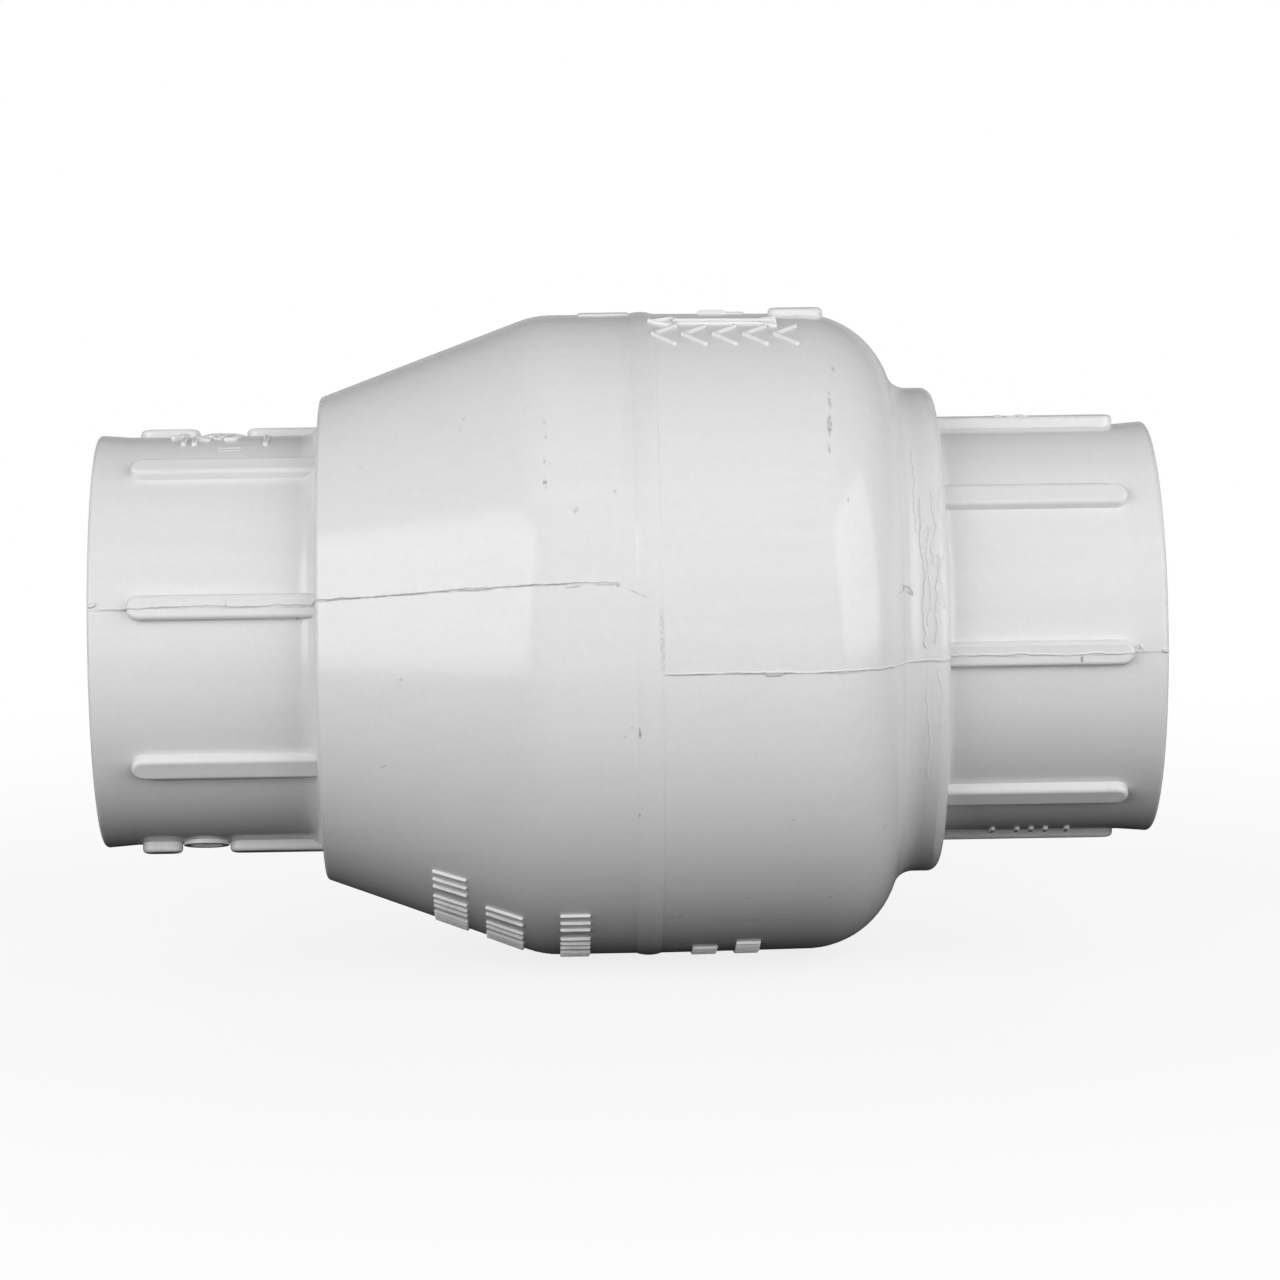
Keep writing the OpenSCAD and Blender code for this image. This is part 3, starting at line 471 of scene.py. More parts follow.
def rubber(finishes):
    """Black rubber with a bloom of dust and the shiny print of the seat lip."""
    made = Finish("facing_rubber")
    grit = made.noise(0.0006, 4, 0.7)
    dust = made.ramp(made.noise(0.005, 4, 0.65), 0.45, 0.75)
    axis = flapper_frame()
    face = made.moved(axis.translation, axis.to_euler())
    flat = made.node("ShaderNodeVectorMath", {0: face, 1: (1, 1, 0)}, operation="MULTIPLY").outputs[0]
    radius = made.node("ShaderNodeVectorMath", {0: flat}, operation="LENGTH").outputs["Value"]
    low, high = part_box("seal_disc")
    lip = (high.y - low.y) / 2 - SEAL_PAST_LIP
    printed = made.ramp(made.combined("ABSOLUTE", made.minus(radius, lip)), 0.0002, 0.0006, 1.0, 0.0)
    base = made.mix(made.times(dust, 0.35), tuple(finishes.rubber_colour) + (1,), DUST)
    rough = made.minus(made.ramp(dust, 0, 1, 0.55, 0.8), made.times(printed, 0.3))
    skin = made.bump(printed, -0.0001, made.bump(grit, 0.00003))
    return made.finish(base, rough, skin, IOR=1.5)


def steel(name, colour, roughness):
    """Machined steel with fine tool lines across x."""
    made = Finish(name)
    stretched = made.node("ShaderNodeMapping", {0: made.place, 3: (1, 0.05, 0.05)}).outputs[0]
    lines = made.noise(0.00025, 2, 0.6, at=stretched)
    smear = made.noise(0.003, 4, 0.6)
    both = made.plus(made.times(lines, 0.6), made.times(smear, 0.4))
    base = made.shade(colour, both, 0.08)
    gloss = made.ramp(smear, 0.3, 0.7, roughness - 0.03, roughness + 0.05)
    return made.finish(base, gloss, made.bump(lines, 0.000012), Metallic=1.0)


def clear_cement():
    """Set solvent cement: a thin clear amber film with drawn runs."""
    made = Finish("set_cement")
    runs = made.noise(0.0016, 4, 0.6, distortion=0.6)
    base = made.shade((0.62, 0.60, 0.53), runs, 0.1)
    return made.finish(base, made.ramp(runs, 0.3, 0.7, 0.1, 0.25), made.bump(runs, 0.00012), IOR=1.48)


def paint(node, material):
    """Puts a material in every slot of a node of the frame."""
    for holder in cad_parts[node].material_slots:
        holder.material = material


# Mesh tools

# Faces that meet more sharply than this show an edge
SHARP_ANGLE = math.radians(38)

# A rough radius of the skin in mm, which turns a stroke's clock angles into lengths
SKIN_RADIUS = 40


def new_piece(name, bm, material, body=BODY):
    """Makes a bmesh a piece that rides on a body and takes its finish from a slot."""
    bmesh.ops.remove_doubles(bm, verts=bm.verts, dist=1e-7)
    bmesh.ops.recalc_face_normals(bm, faces=bm.faces)
    mesh = bpy.data.meshes.new(name)
    bm.to_mesh(mesh)
    bm.free()
    mesh.shade_smooth()
    mesh.set_sharp_from_angle(angle=SHARP_ANGLE)
    piece = bpy.data.objects.new(name, mesh)
    bpy.context.scene.collection.objects.link(piece)
    piece.data.materials.append(material)
    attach(piece, body)
    return piece


def station(place, along, up, width, height):
    """A frame on the skin: y across the ridge, z out of the skin, scaled to its width and height."""
    across = up.cross(along).normalized()
    up = along.cross(across).normalized()
    turn = Matrix((along.normalized(), across, up)).transposed().to_4x4()
    return Matrix.Translation(place) @ turn @ Matrix.Diagonal((1, width, height, 1))


# The section of the flash, as (across, height) over its width and height
RIDGE = [(-0.5, -0.9), (-0.42, 0.25), (-0.2, 0.85), (0.1, 1.0), (0.36, 0.6), (0.5, -0.9)]


def run_ridge(bm, stations, section=RIDGE):
    """A closed ridge pulled through the stations from one small section."""
    start = stations[0]
    corners = [bm.verts.new(start @ Vector((0, y, z))) for y, z in section]
    end = bm.faces.new(corners)
    for before, after in zip(stations, stations[1:]):
        grown = bmesh.ops.extrude_face_region(bm, geom=[end])["geom"]
        verts = [part for part in grown if isinstance(part, bmesh.types.BMVert)]
        end = next(part for part in grown if isinstance(part, bmesh.types.BMFace))
        bmesh.ops.transform(bm, matrix=after @ before.inverted(), verts=verts)


# Sections of a raised stroke and of a soft ripple, as (across, height) over their width and height
STROKE = [(-0.5, -0.7), (-0.42, 0.55), (-0.24, 1.0), (0.24, 1.0), (0.42, 0.55), (0.5, -0.7)]
RIPPLE = [(-0.5, -0.6), (-0.32, 0.45), (-0.12, 0.95), (0.12, 0.95), (0.32, 0.45), (0.5, -0.6)]


def stepped(spots, step):
    """The line through spots, each (x in mm, clock), in steps of about a length in mm."""
    line = []
    for (x_a, clock_a), (x_b, clock_b) in zip(spots, spots[1:]):
        round_way = math.radians(clock_b - clock_a) * SKIN_RADIUS
        count = max(1, int(math.hypot(x_b - x_a, round_way) / step))
        for i in range(count):
            line.append((x_a + (x_b - x_a) * i / count, clock_a + (clock_b - clock_a) * i / count))
    return line + [spots[-1]]


def round_end(place, normal, way, out, width, height):
    """Shrinking stations that round off a stroke on the side that out points to."""
    caps = []
    for share in (0.35, 0.75, 0.95):
        size = math.sqrt(1 - share * share)
        lift = height * (0.35 + 0.65 * size)
        caps.append(station(place + out * (width / 2) * share, way, normal, width * size, lift))
    return caps


def stroke(bm, spots, width, height, step=0.7, section=STROKE, jog=None, reach=0.0):
    """A raised stroke over the skin through spots, each (x in mm, clock), with round ends; sizes in mm."""
    line = stepped(spots, step)
    if jog:
        sway = wandering(jog, len(line), reach)
        line = [(x + sway[i], clock) for i, (x, clock) in enumerate(line)]
    skin = [on_skin(x * MM, clock) for x, clock in line]
    ways = [skin[min(i + 1, len(skin) - 1)][0] - skin[max(i - 1, 0)][0] for i in range(len(skin))]
    width, height = width * MM, height * MM
    first = round_end(*skin[0], ways[0], -ways[0].normalized(), width, height)
    middle_part = [station(place, way, normal, width, height) for (place, normal), way in zip(skin, ways)]
    last = round_end(*skin[-1], ways[-1], ways[-1].normalized(), width, height)
    run_ridge(bm, first[::-1] + middle_part + last, section)


def lathe(bm, profile, place=Matrix(), segments=48):
    """Turns a profile of (radius, height) corners in mm round z; off the axis it is closed first."""
    before = set(bm.verts)
    verts = [bm.verts.new((radius * MM, 0, height * MM)) for radius, height in profile]
    edges = [bm.edges.new(pair) for pair in zip(verts, verts[1:])]
    if profile[0][0] > 0:
        edges.append(bm.edges.new((verts[-1], verts[0])))
    bmesh.ops.spin(
        bm, geom=verts + edges, axis=(0, 0, 1), cent=(0, 0, 0), angle=2 * math.pi,
        steps=segments, use_merge=True)
    bmesh.ops.transform(bm, matrix=place, verts=[vert for vert in bm.verts if vert not in before])


def ring_mark(bm, place, radius, width, height):
    """A thin raised ring, as the end of an ejector pin leaves it."""
    inner, outer = radius - width / 2, radius + width / 2
    edge = height * 0.6
    lathe(bm, [(inner, -0.2), (inner, edge), (radius, height), (outer, edge), (outer, -0.2)], place, 32)


def wandering(draw, count, reach, pull=0.82):
    """A row of offsets that drifts to and fro within about reach."""
    row = []
    drift = 0.0
    for _ in range(count):
        drift = drift * pull + draw.uniform(-1, 1) * (1 - pull)
        row.append(drift * reach * 2.2)
    return row


def skin_path(half, clock, start_x, end_x, step, draw, marks):
    """Stations of a ridge that follows the skin of a half from start_x to end_x near a clock angle."""
    count = max(3, int(abs(end_x - start_x) / step))
    sway = wandering(draw, count + 1, marks.flash_wander)
    swell = wandering(draw, count + 1, 0.35, 0.6)
    spots = []
    for i in range(count + 1):
        x = start_x + (end_x - start_x) * i / count
        radius = on_skin(x, clock, (half,))[0].yz.length
        turn = math.degrees(sway[i] / radius)
        spots.append(on_skin(x, clock + turn, (half,)))
    stations = []
    for i, (place, normal) in enumerate(spots):
        along = spots[min(i + 1, count)][0] - spots[max(i - 1, 0)][0]
        taper = min(1.0, 0.25 + min(i, count - i) / 3)
        size = taper * (1 + swell[i])
        width = marks.flash_width * (0.8 + 0.2 * size)
        stations.append(station(place, along, normal, width, marks.flash_height * size))
    return stations


# Operators

# What the camera looks at, close to the middle of the valve
CAMERA_TARGET = Vector((-0.04263, 0, -0.000923))


class VALVE_OT_camera(bpy.types.Operator):
    """Sets up the camera where the valve was photographed from"""
    bl_idname = "valve.camera"
    bl_label = "Camera"

    def execute(self, context):
        stage = context.scene.valve_stage
        back = aimed(stage.azimuth, stage.elevation)
        level = Vector((0, 0, 1)).cross(back).normalized()
        plumb = back.cross(level)
        right = level * math.cos(stage.roll) + plumb * math.sin(stage.roll)
        up = plumb * math.cos(stage.roll) - level * math.sin(stage.roll)
        eye = bpy.data.cameras.new("camera")
        eye.lens = stage.lens
        eye.sensor_width = 36
        eye.clip_start = 0.01
        camera = bpy.data.objects.new("camera", eye)
        context.scene.collection.objects.link(camera)
        turn = Matrix((right, up, back)).transposed().to_4x4()
        camera.matrix_world = Matrix.Translation(CAMERA_TARGET + back * stage.distance) @ turn
        context.scene.camera = camera
        return {"FINISHED"}


# Softboxes as (name, azimuth, elevation, width, height, radiance, seen in gloss), in degrees and metres
SOFTBOXES = [
    ("left", -52.5, 18, 0.75, 0.84, 2.15, True),
    ("right", 59, 21, 0.84, 0.8, 1.7, True),
    ("front", 4, 16, 1.3, 0.4, 1.7, False),
    ("high_front", 4, 31, 1.3, 0.3, 0.95, False),
    ("low_fill", 4, 4, 1.5, 0.2, 0.9, False),
    ("low_left", -62, 5, 0.55, 0.25, 1.1, False),
    ("low_right", 62, 5, 0.55, 0.25, 1.7, False),
    ("rear_left", -140, 35, 0.8, 0.6, 1.2, False),
    ("rear_right", 140, 35, 0.8, 0.6, 1.2, False),
    ("rear_low", 180, 12, 1.4, 0.5, 1.6, False),
]
SOFTBOX_DISTANCE = 0.9

# The heights of a mirrored ray between which the white paper fades out above and in below, how bright it
# looks there, and the dim room that mirrored rays and stray light find
PAPER_TOP, PAPER_FOOT = (0.1, 0.3), (-0.06, 0.0)
PAPER_GLOW, PAPER_GLOW_ABOVE = 0.4, 0.03
ROOM_IN_GLOSS, ROOM_AROUND = (0.015, 0.015, 0.015, 1), (0.09, 0.09, 0.09, 1)

# The floor looks like paper to the camera and fades to white this far out, but throws back little light
FLOOR_RADIUS = 6
FLOOR_BOUNCE = (0.01, 0.01, 0.01, 1)
FLOOR_FADE, FLOOR_GLOW = (0.09, 0.3), 0.82


class VALVE_OT_stage(bpy.types.Operator):
    """Lays the pale floor and hangs the softboxes and the white backdrop"""
    bl_idname = "valve.stage"
    bl_label = "Floor and studio light"

    def execute(self, context):
        scene = context.scene
        scene.view_settings.view_transform = "Standard"
        stage = scene.valve_stage
        bm = bmesh.new()
        bmesh.ops.create_circle(bm, cap_ends=True, segments=64, radius=FLOOR_RADIUS)
        bmesh.ops.translate(bm, verts=bm.verts, vec=(MIDDLE.x, 0, LOWEST_Z))
        mesh = bpy.data.meshes.new("floor")
        bm.to_mesh(mesh)
        bm.free()
        floor = bpy.data.objects.new("floor", mesh)
        scene.collection.objects.link(floor)
        floor.data.materials.append(self.floor_finish(stage))
        self.backdrop(scene)
        for row in SOFTBOXES:
            self.softbox(scene, *row)
        return {"FINISHED"}

    def floor_finish(self, stage):
        made = Finish("floor_paper")
        path = made.node("ShaderNodeLightPath")
        grain = made.noise(0.03, 4, 0.6)
        paper = made.shade(stage.floor_colour, grain, 0.01)
        paper = made.mix(path.outputs["Is Camera Ray"], FLOOR_BOUNCE, paper)
        from_middle = {0: made.place, 1: tuple(-MIDDLE)}
        reach = made.node("ShaderNodeVectorMath", from_middle, operation="ADD").outputs[0]
        reach = made.node("ShaderNodeVectorMath", {0: reach}, operation="LENGTH").outputs["Value"]
        far = made.ramp(reach, *FLOOR_FADE, FLOOR_GLOW, 1.0)
        glow = made.times(path.outputs["Is Camera Ray"], far)
        diffuse = made.node("ShaderNodeBsdfDiffuse", {0: paper}).outputs[0]
        white = made.node("ShaderNodeEmission", {0: (1, 1, 1, 1), 1: 1.0}).outputs[0]
        both = made.node("ShaderNodeMixShader", {0: glow, 1: diffuse, 2: white}).outputs[0]
        clear = made.node("ShaderNodeBsdfTransparent").outputs[0]
        glossy = path.outputs["Is Glossy Ray"]
        both = made.node("ShaderNodeMixShader", {0: glossy, 1: both, 2: clear}).outputs[0]
        made.tree.nodes.remove(made.shader)
        made.tree.links.new(both, made.output.inputs[0])
        return made.material

    def backdrop(self, scene):
        """White to the camera; mirrored rays find the white paper low down and a dim room above it."""
        scene.world = bpy.data.worlds.new("backdrop")
        scene.world.use_nodes = True
        made = Nodes(scene.world.node_tree)
        path = made.node("ShaderNodeLightPath").outputs
        mirrored = made.combined("MAXIMUM", path["Is Glossy Ray"], path["Is Transmission Ray"])
        seen = made.combined("MAXIMUM", path["Is Camera Ray"], mirrored)
        direction = made.node("ShaderNodeTexCoord").outputs["Generated"]
        height = made.node("ShaderNodeSeparateXYZ", {0: direction}).outputs[2]
        above = made.ramp(height, *PAPER_TOP, PAPER_GLOW, PAPER_GLOW_ABOVE)
        below = made.ramp(height, *PAPER_FOOT, smooth=False)
        paper = made.combined("MAXIMUM", made.times(above, below), path["Is Camera Ray"])
        room = made.mix(path["Is Diffuse Ray"], ROOM_IN_GLOSS, ROOM_AROUND)
        colour = made.mix(made.times(seen, paper), room, (1, 1, 1, 1))
        sky = made.node("ShaderNodeBackground", {0: colour, 1: 1.0}).outputs[0]
        made.node("ShaderNodeOutputWorld", {0: sky})

    def softbox(self, scene, name, azimuth, elevation, width, height, radiance, in_gloss):
        away = aimed(math.radians(azimuth), math.radians(elevation))
        lamp = bpy.data.lights.new("softbox_" + name, "AREA")
        lamp.shape = "RECTANGLE"
        lamp.size = width
        lamp.size_y = height
        lamp.energy = radiance * math.pi * width * height
        box = bpy.data.objects.new("softbox_" + name, lamp)
        scene.collection.objects.link(box)
        turn = away.to_track_quat("Z", "Y").to_matrix().to_4x4()
        box.matrix_world = Matrix.Translation(MIDDLE + away * SOFTBOX_DISTANCE) @ turn
        box.visible_camera = False
        box.visible_glossy = in_gloss


STAINLESS = ("bracket_washers", "bracket_screws", "hinge_pin", "disc_bolt", "disc_washer", "lock_nut")
BEARINGS = ("thrust_washer_front", "thrust_washer_rear", "arm_bush_front", "arm_bush_rear")


class VALVE_OT_finishes(bpy.types.Operator):
    """Gives every solid of the valve its finish"""
    bl_idname = "valve.finishes"
    bl_label = "Finishes"

    def execute(self, context):
        finishes = context.scene.valve_finishes
        for half in HALVES:
            paint(half, moulded_plastic(half, finishes))
        paint("cement_ring", clear_cement())
        bracket = plain_plastic("bracket_plastic", finishes.bracket_colour, 0.4)
        for node in ("hinge_bracket", "flapper_arm"):
            paint(node, bracket)
        flapper = plain_plastic("flapper_plastic", finishes.flapper_colour, 0.33)
        for node in ("flapper_disc", "seal_retainer"):
            paint(node, flapper)
        soft = rubber(finishes)
        for node in ("seal_disc", "bolt_o_ring"):
            paint(node, soft)
        for node in STAINLESS:
            paint(node, steel(node + "_steel", finishes.steel_colour, 0.28))
        spring = steel("clip_steel", (0.42, 0.42, 0.43), 0.35)
        for node in ("pin_clip_front", "pin_clip_rear"):
            paint(node, spring)
        bearing = plain_plastic("bearing_plastic", (0.72, 0.70, 0.64), 0.35, spread=0.04)
        for node in BEARINGS:
            paint(node, bearing)
        paint("nut_insert", plain_plastic("nut_nylon", (0.10, 0.22, 0.45), 0.35))
        return {"FINISHED"}


# How far the flash stops short of a mouth, runs past the seam on the inlet half, and stops short of it on
# the outlet half, and the length of its steps
FLASH_INSET, FLASH_PAST, FLASH_SHORT, FLASH_STEP = 1.0 * MM, 0.3 * MM, 5.7 * MM, 0.5 * MM


class VALVE_OT_parting_flash(bpy.types.Operator):
    """Runs the thin moulding flash along the parting lines of both halves"""
    bl_idname = "valve.parting_flash"
    bl_label = "Parting flash"

    def execute(self, context):
        marks = context.scene.valve_marks
        draw = random.Random(marks.seed)
        ends = {
            "inlet_body": (INLET_MOUTH_X - FLASH_INSET, SEAM_X + FLASH_PAST),
            "outlet_body": (OUTLET_MOUTH_X + FLASH_INSET, SEAM_X - FLASH_SHORT),
        }
        for half in HALVES:
            bm = bmesh.new()
            for side in (0, 180):
                path = skin_path(half, PARTING[half] + side, *ends[half], FLASH_STEP, draw, marks)
                run_ridge(bm, path)
            new_piece(half.split("_")[0] + "_parting_flash", bm, material_of(half))
        return {"FINISHED"}


# Degrees from one stroke of a row to the next, and the extra between two groups
STROKE_STEP, GROUP_GAP = 2.8, 1.6

# Rows of strokes as (x from, x to, first clock, count, strokes in a group, width), in mm and degrees
OUTLET_ROWS = (
    (-71.7, -67.4, -47, 16, 3, 0.42), (-64.5, -59.8, -55, 13, 2, 0.5), (-54.4, -50.6, -51.5, 15, 3, 0.36),
)
INLET_ROWS = ((-36.0, -32.9, -70, 10, 2, 0.42), (-30.0, -27.0, -66.5, 11, 4, 0.42))


class VALVE_OT_signs(bpy.types.Operator):
    """Raises the flow arrow, the chevrons and the rows of plain strokes"""
    bl_idname = "valve.signs"
    bl_label = "Flow arrow and strokes"

    def execute(self, context):
        high = context.scene.valve_marks.sign_height / MM
        inlet, outlet = material_of("inlet_body"), material_of("outlet_body")
        self.arrow(high, inlet)
        self.chevrons(high, inlet)
        self.stroke_rows("outlet_strokes", OUTLET_ROWS, high, outlet)
        self.stroke_rows("inlet_strokes", INLET_ROWS, high, inlet)
        self.top_strokes(high, inlet, outlet)
        self.socket_strokes(high, inlet, outlet)
        return {"FINISHED"}

    def arrow(self, high, material):
        """The arrow points the way the water flows, towards the outlet."""
        bm = bmesh.new()
        tip, neck, tail, clock = -41.0, -37.4, -23.6, 80.2
        for side in (-1, 1):
            stroke(bm, [(neck, clock + side * 1.1), (tail, clock + side * 1.1)], 0.55, high)
            stroke(bm, [(tip, clock), (neck, clock + side * 3.0)], 0.6, high)
            stroke(bm, [(neck, clock + side * 3.0), (neck, clock + side * 1.1)], 0.55, high)
            stroke(bm, [(tail - 2.6, clock + side * 1.1), (tail, clock + side * 3.0)], 0.6, high)
        new_piece("flow_arrow", bm, material)

    def chevrons(self, high, material):
        bm = bmesh.new()
        for i in range(5):
            x = -40.6 + i * 4.2
            for side in (-4.2, 4.2):
                stroke(bm, [(x, 73.0), (x + 2.9, 73.0 + side)], 0.8, high)
        new_piece("flow_chevrons", bm, material)

    def stroke_rows(self, name, rows, high, material):
        """Rows of plain strokes in groups, low down on the body."""
        bm = bmesh.new()
        for low, end, first, count, group, width in rows:
            for i in range(count):
                clock = first - i * STROKE_STEP - i // group * GROUP_GAP
                stroke(bm, [(low, clock), (end, clock)], width, high)
        new_piece(name, bm, material)

    def top_strokes(self, high, inlet, outlet):
        """Short bars along the top of both halves."""
        bm = bmesh.new()
        for low, end in ((-50.2, -47.6), (-47.0, -44.2)):
            stroke(bm, [(low, 89.5), (end, 89.5)], 1.2, 0.7 * high)
            stroke(bm, [(low, 94), (end, 94)], 1.2, 0.7 * high)
        new_piece("outlet_top_strokes", bm, outlet)
        bm = bmesh.new()
        stroke(bm, [(-33.4, 92), (-30.6, 92)], 1.3, 1.4 * high)
        stroke(bm, [(-30.8, 92), (-28.0, 92)], 1.1, 0.8 * high)
        new_piece("inlet_top_stroke", bm, inlet)

    def socket_strokes(self, high, inlet, outlet):
        """Dots and bars on the sockets."""
        bm = bmesh.new()
        for x in (-105.8, -104.3):
            stroke(bm, [(x, 79), (x, 84)], 0.9, high)
        stroke(bm, [(-94.4, 78), (-94.4, 87)], 0.9, high)
        for clock in (73.2, 75.4):
            stroke(bm, [(-100.8, clock), (-97.9, clock)], 0.25, 0.07)
        new_piece("outlet_socket_strokes", bm, outlet)
        bm = bmesh.new()
        for x, long in ((6.2, 8), (9.6, 5), (11.6, 5), (13.6, 5), (16.6, 8)):
            stroke(bm, [(x, -72), (x, -72 - long)], 0.85, high)
        new_piece("inlet_socket_strokes", bm, inlet)


# Ripples on the collar as (x in mm, first clock, last clock, width, height)
RIPPLES = (
    (-4.9, 38, 3, 0.55, 0.18), (-4.2, 31, 8, 0.4, 0.15), (-3.3, 40, 22, 0.5, 0.16),
    (-3.0, 24, 4, 0.5, 0.19), (-2.2, 44, 12, 0.5, 0.13), (-5.6, 52, 30, 0.6, 0.1),
    (-4.6, -4, -30, 0.5, 0.07), (-2.9, -2, -16, 0.4, 0.08),
)


class VALVE_OT_mould_traces(bpy.types.Operator):
    """Adds the small traces of moulding: collar ripples, nubs on the rims, ticks and a gate scar"""
    bl_idname = "valve.mould_traces"
    bl_label = "Mould traces"

    def execute(self, context):
        draw = random.Random(context.scene.valve_marks.seed + 5)
        inlet, outlet = material_of("inlet_body"), material_of("outlet_body")
        self.ripples(draw, inlet)
        self.inlet_nubs(draw, inlet)
        self.outlet_nubs(outlet)
        self.gate_scar(draw, outlet)
        return {"FINISHED"}

    def ripples(self, draw, material):
        """Ripples that the melt left round the collar."""
        bm = bmesh.new()
        for x, start, end, width, height in RIPPLES:
            stroke(bm, [(x, start), (x, end)], width, height, section=RIPPLE, jog=draw, reach=0.55)
        new_piece("collar_ripples", bm, material)

    def inlet_nubs(self, draw, material):
        """Nubs where the flash meets the rim, ticks across the middle ribs and crumbs on the top rib."""
        bm = bmesh.new()
        for clock in (0.3, 180.3):
            stroke(bm, [(28.0, clock), (28.25, clock - 0.2)], 0.7, 0.35)
            stroke(bm, [(16.6, clock - 0.4), (16.6, clock - 3.0)], 0.3, 0.09)
        stroke(bm, [(24.1, 0.2), (24.7, 1.9), (25.2, 0.4)], 0.4, 0.16)
        stroke(bm, [(-26.6, -0.3), (-24.9, -0.2)], 0.7, 0.3)
        stroke(bm, [(-8.5, 14.6), (-8.2, 16.3), (-7.2, 16.5), (-6.6, 15.4)], 0.35, 0.22, step=0.3)
        for spot in ((7.6, 90.5), (9.4, 88.2), (10.6, 91.5), (11.0, 89.4)):
            stroke(bm, [spot, (spot[0] + 0.7, spot[1] + draw.uniform(-1, 1))], 0.55, 0.18)
        new_piece("inlet_nubs", bm, material)

    def outlet_nubs(self, material):
        bm = bmesh.new()
        for clock in (16.6, 196.6):
            stroke(bm, [(-117.4, clock), (-117.1, clock + 0.3)], 0.8, 0.4)
            stroke(bm, [(-99.1, clock - 0.6), (-99.1, clock + 1.6)], 0.3, 0.09)
        stroke(bm, [(-53.0, 15.2), (-51.5, 15.4)], 0.6, 0.2)
        new_piece("outlet_nubs", bm, material)

    def gate_scar(self, draw, material):
        """The torn scar on the upper gate pad and the curl at the end of the short rib."""
        bm = bmesh.new()
        for _ in range(16):
            x, clock = draw.uniform(-103.0, -99.2), draw.uniform(83, 98)
            end = x + draw.uniform(-1.1, 1.1), clock + draw.uniform(-3, 3)
            stroke(bm, [(x, clock), end], draw.uniform(0.6, 1.3), draw.uniform(0.2, 0.45))
        stroke(bm, [(-107.4, 87), (-106.3, 89.5), (-105.7, 93)], 0.8, 0.45)
        new_piece("gate_scar", bm, material)


# The rings of the ejector pins: how many, the share of the disc's radius at which they lie, and each ring's
# radius, width and height in mm
EJECTOR_PINS, EJECTOR_REACH, EJECTOR_RING = 6, 0.68, (1.5, 0.25, 0.1)

# The thread on the bolt's end: its radius, pitch, length below the end and turns, and its ridge's width
# and height
THREAD_RADIUS, THREAD_PITCH, THREAD_LENGTH, THREAD_TURNS = 2.98 * MM, 0.4 * MM, 0.68 * MM, 1.4
THREAD_RIDGE = (0.34 * MM, 0.13 * MM)


class VALVE_OT_inner_marks(bpy.types.Operator):
    """Adds the marks of moulding and the bolt's thread inside, where the open ends show them"""
    bl_idname = "valve.inner_marks"
    bl_label = "Inner marks"

    def execute(self, context):
        axis = flapper_frame()
        upstream = axis.to_3x3() @ Vector((0, 0, -1))
        self.ejector_marks(axis, upstream)
        self.bolt_thread(axis, upstream)
        return {"FINISHED"}

    def ejector_marks(self, axis, upstream):
        """Rings left by the ejector pins between the ribs on the disc's back."""
        low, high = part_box("flapper_disc")
        reach = (high.y - low.y) / 2
        bm = bmesh.new()
        back = tree_of("flapper_disc")
        for i in range(EJECTOR_PINS):
            turn = math.radians(67.5 + 45 * i)
            spot = Vector((math.cos(turn), math.sin(turn), 0)) * reach * EJECTOR_REACH
            place = back.ray_cast(axis @ (spot + Vector((0, 0, 0.03))), upstream)[0]
            if place is None:
                raise RuntimeError("no disc under ejector mark %d" % i)
            ring_mark(bm, axis @ Matrix.Translation(axis.inverted() @ place), *EJECTOR_RING)
        new_piece("disc_ejector_marks", bm, material_of("flapper_disc"), FLAPPER)

    def bolt_thread(self, axis, upstream):
        """The thread on the end of the bolt that stands out of the nut."""
        bolt = tree_of("disc_bolt")
        end = axis.inverted() @ bolt.ray_cast(axis @ Vector((0, 0, 0.05)), upstream)[0]
        stations = []
        steps = 56
        for i in range(steps + 1):
            turns = THREAD_TURNS * i / steps
            turn = 2 * math.pi * turns
            out = Vector((math.cos(turn), math.sin(turn), 0))
            height = end.z - THREAD_LENGTH + THREAD_PITCH * turns
            spot = out * THREAD_RADIUS + Vector((0, 0, height))
            along = Vector((-math.sin(turn), math.cos(turn), 0))
            stations.append(axis @ station(spot, along, out, *THREAD_RIDGE))
        bm = bmesh.new()
        run_ridge(bm, stations, RIPPLE)
        new_piece("bolt_thread_end", bm, material_of("disc_bolt"), FLAPPER)


# The bracket screws in mm: the head's radius and height, the thread's radius over its crests and at its
# roots, and its pitch
HEAD_RADIUS, HEAD_HEIGHT, CREST_RADIUS, ROOT_RADIUS, SCREW_PITCH = 3.1, 2.2, 1.6, 1.2, 1.0

# The cross recess: half its length and half an arm's width, its depth, and how much smaller its floor is
RECESS_ARM, RECESS_DEPTH, RECESS_TAPER = (1.65 * MM, 0.36 * MM), 1.2 * MM, 0.55


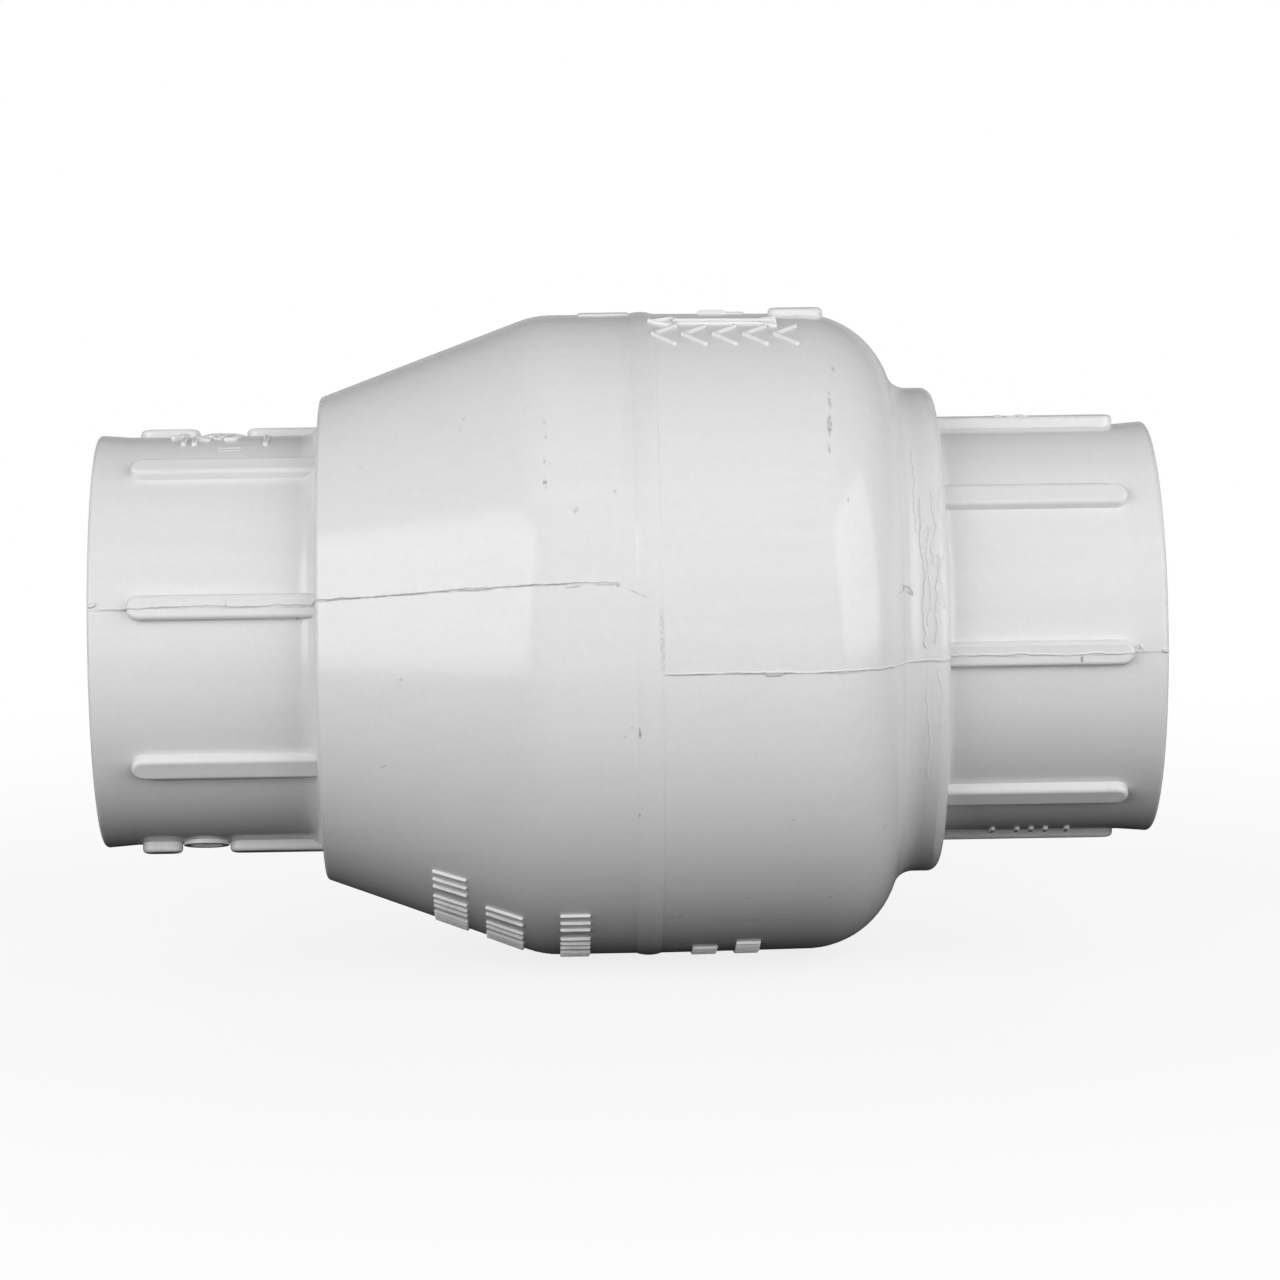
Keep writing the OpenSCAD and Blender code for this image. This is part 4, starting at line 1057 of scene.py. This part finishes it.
class VALVE_OT_screws(bpy.types.Operator):
    """Replaces the plain bracket screws with pan-head screws that have a cross recess and a thread"""
    bl_idname = "valve.screws"
    bl_label = "Bracket screws"

    def execute(self, context):
        low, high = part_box("bracket_screws")
        profile = self.profile((high.x - low.x) / MM)
        bm = bmesh.new()
        for y in (low.y + HEAD_RADIUS * MM, high.y - HEAD_RADIUS * MM):
            side = Vector((0, 0, 1))
            back = Vector((-1, 0, 0))
            turn = Matrix((side, back.cross(side), back)).transposed().to_4x4()
            place = Matrix.Translation((high.x, y, (low.z + high.z) / 2)) @ turn
            self.shank_and_head(bm, profile, place)
        screws = new_piece("cross_recess_screws", bm, material_of("bracket_screws"), BODY)
        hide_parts("bracket_screws")
        return {"FINISHED"}

    def profile(self, length):
        """Half the outline of a screw in mm, from its point up to the open middle of its head."""
        profile = [(0, 0), (0.4, 0.3), (ROOT_RADIUS, 1.2)]
        for i in range(int((length - HEAD_HEIGHT - 1.6) / SCREW_PITCH)):
            foot = 1.2 + i * SCREW_PITCH
            profile += [(ROOT_RADIUS, foot + 0.15), (CREST_RADIUS, foot + 0.5), (ROOT_RADIUS, foot + 0.85)]
        under = length - HEAD_HEIGHT
        profile += [(ROOT_RADIUS, under - 0.5), (CREST_RADIUS, under - 0.4), (CREST_RADIUS, under)]
        profile += [(HEAD_RADIUS, under), (HEAD_RADIUS, under + 0.7), (2.95, under + 1.25)]
        return profile + [(2.6, under + 1.7), (2.1, under + 2.03), (1.85, length - 0.05)]

    def shank_and_head(self, bm, profile, place):
        """Turns a screw and sinks a tapered cross into the open middle of its head."""
        before = set(bm.verts)
        lathe(bm, profile)
        top = profile[-1][1] * MM
        on_rim = {vert for vert in bm.verts if vert not in before and abs(vert.co.z - top) < 1e-7}
        rim = [edge for edge in bm.edges if edge.is_boundary and on_rim.issuperset(edge.verts)]
        long, slim = RECESS_ARM
        outline = [(long, -slim), (long, slim), (slim, slim), (slim, long), (-slim, long), (-slim, slim)]
        outline += [(-x, -y) for x, y in outline]
        corners = [bm.verts.new((x, y, top)) for x, y in outline]
        cross = bm.faces.new(corners)
        bmesh.ops.bridge_loops(bm, edges=rim + list(cross.edges))
        sunk = bmesh.ops.extrude_face_region(bm, geom=[cross])["geom"]
        floor = [part for part in sunk if isinstance(part, bmesh.types.BMVert)]
        if cross.is_valid:
            bmesh.ops.delete(bm, geom=[cross], context="FACES_ONLY")
        sink = Matrix.Translation((0, 0, top - RECESS_DEPTH))
        sink = sink @ Matrix.Diagonal((RECESS_TAPER, RECESS_TAPER, 1, 1))
        bmesh.ops.transform(bm, matrix=sink @ Matrix.Translation((0, 0, -top)), verts=floor)
        bmesh.ops.transform(bm, matrix=place, verts=[vert for vert in bm.verts if vert not in before])


class VALVE_PT_panel(bpy.types.Panel):
    """The valve's steps in the sidebar"""
    bl_idname = "VALVE_PT_panel"
    bl_label = "Valve"
    bl_space_type = "VIEW_3D"
    bl_region_type = "UI"
    bl_category = "Valve"

    def draw(self, context):
        for step in STEPS:
            self.layout.operator(step.bl_idname)
        for group in (context.scene.valve_finishes, context.scene.valve_marks, context.scene.valve_stage):
            for name in group.bl_rna.properties.keys():
                if name not in {"rna_type", "name"}:
                    self.layout.prop(group, name)


STEPS = (
    VALVE_OT_camera, VALVE_OT_stage, VALVE_OT_finishes, VALVE_OT_parting_flash, VALVE_OT_signs,
    VALVE_OT_mould_traces, VALVE_OT_inner_marks, VALVE_OT_screws,
)
GROUPS = {"valve_finishes": ValveFinishes, "valve_marks": ValveMarks, "valve_stage": ValveStage}


def register():
    for kind in (*GROUPS.values(), *STEPS, VALVE_PT_panel):
        bpy.utils.register_class(kind)
    for name, group in GROUPS.items():
        setattr(bpy.types.Scene, name, PointerProperty(type=group))


def unregister():
    for name in GROUPS:
        delattr(bpy.types.Scene, name)
    for kind in (VALVE_PT_panel, *reversed(STEPS), *GROUPS.values()):
        bpy.utils.unregister_class(kind)


def main():
    register()
    bpy.ops.valve.camera()
    bpy.ops.valve.stage()
    bpy.ops.valve.finishes()
    bpy.ops.valve.parting_flash()
    bpy.ops.valve.signs()
    bpy.ops.valve.mould_traces()
    bpy.ops.valve.inner_marks()
    bpy.ops.valve.screws()


if __name__ == "__main__":
    main()
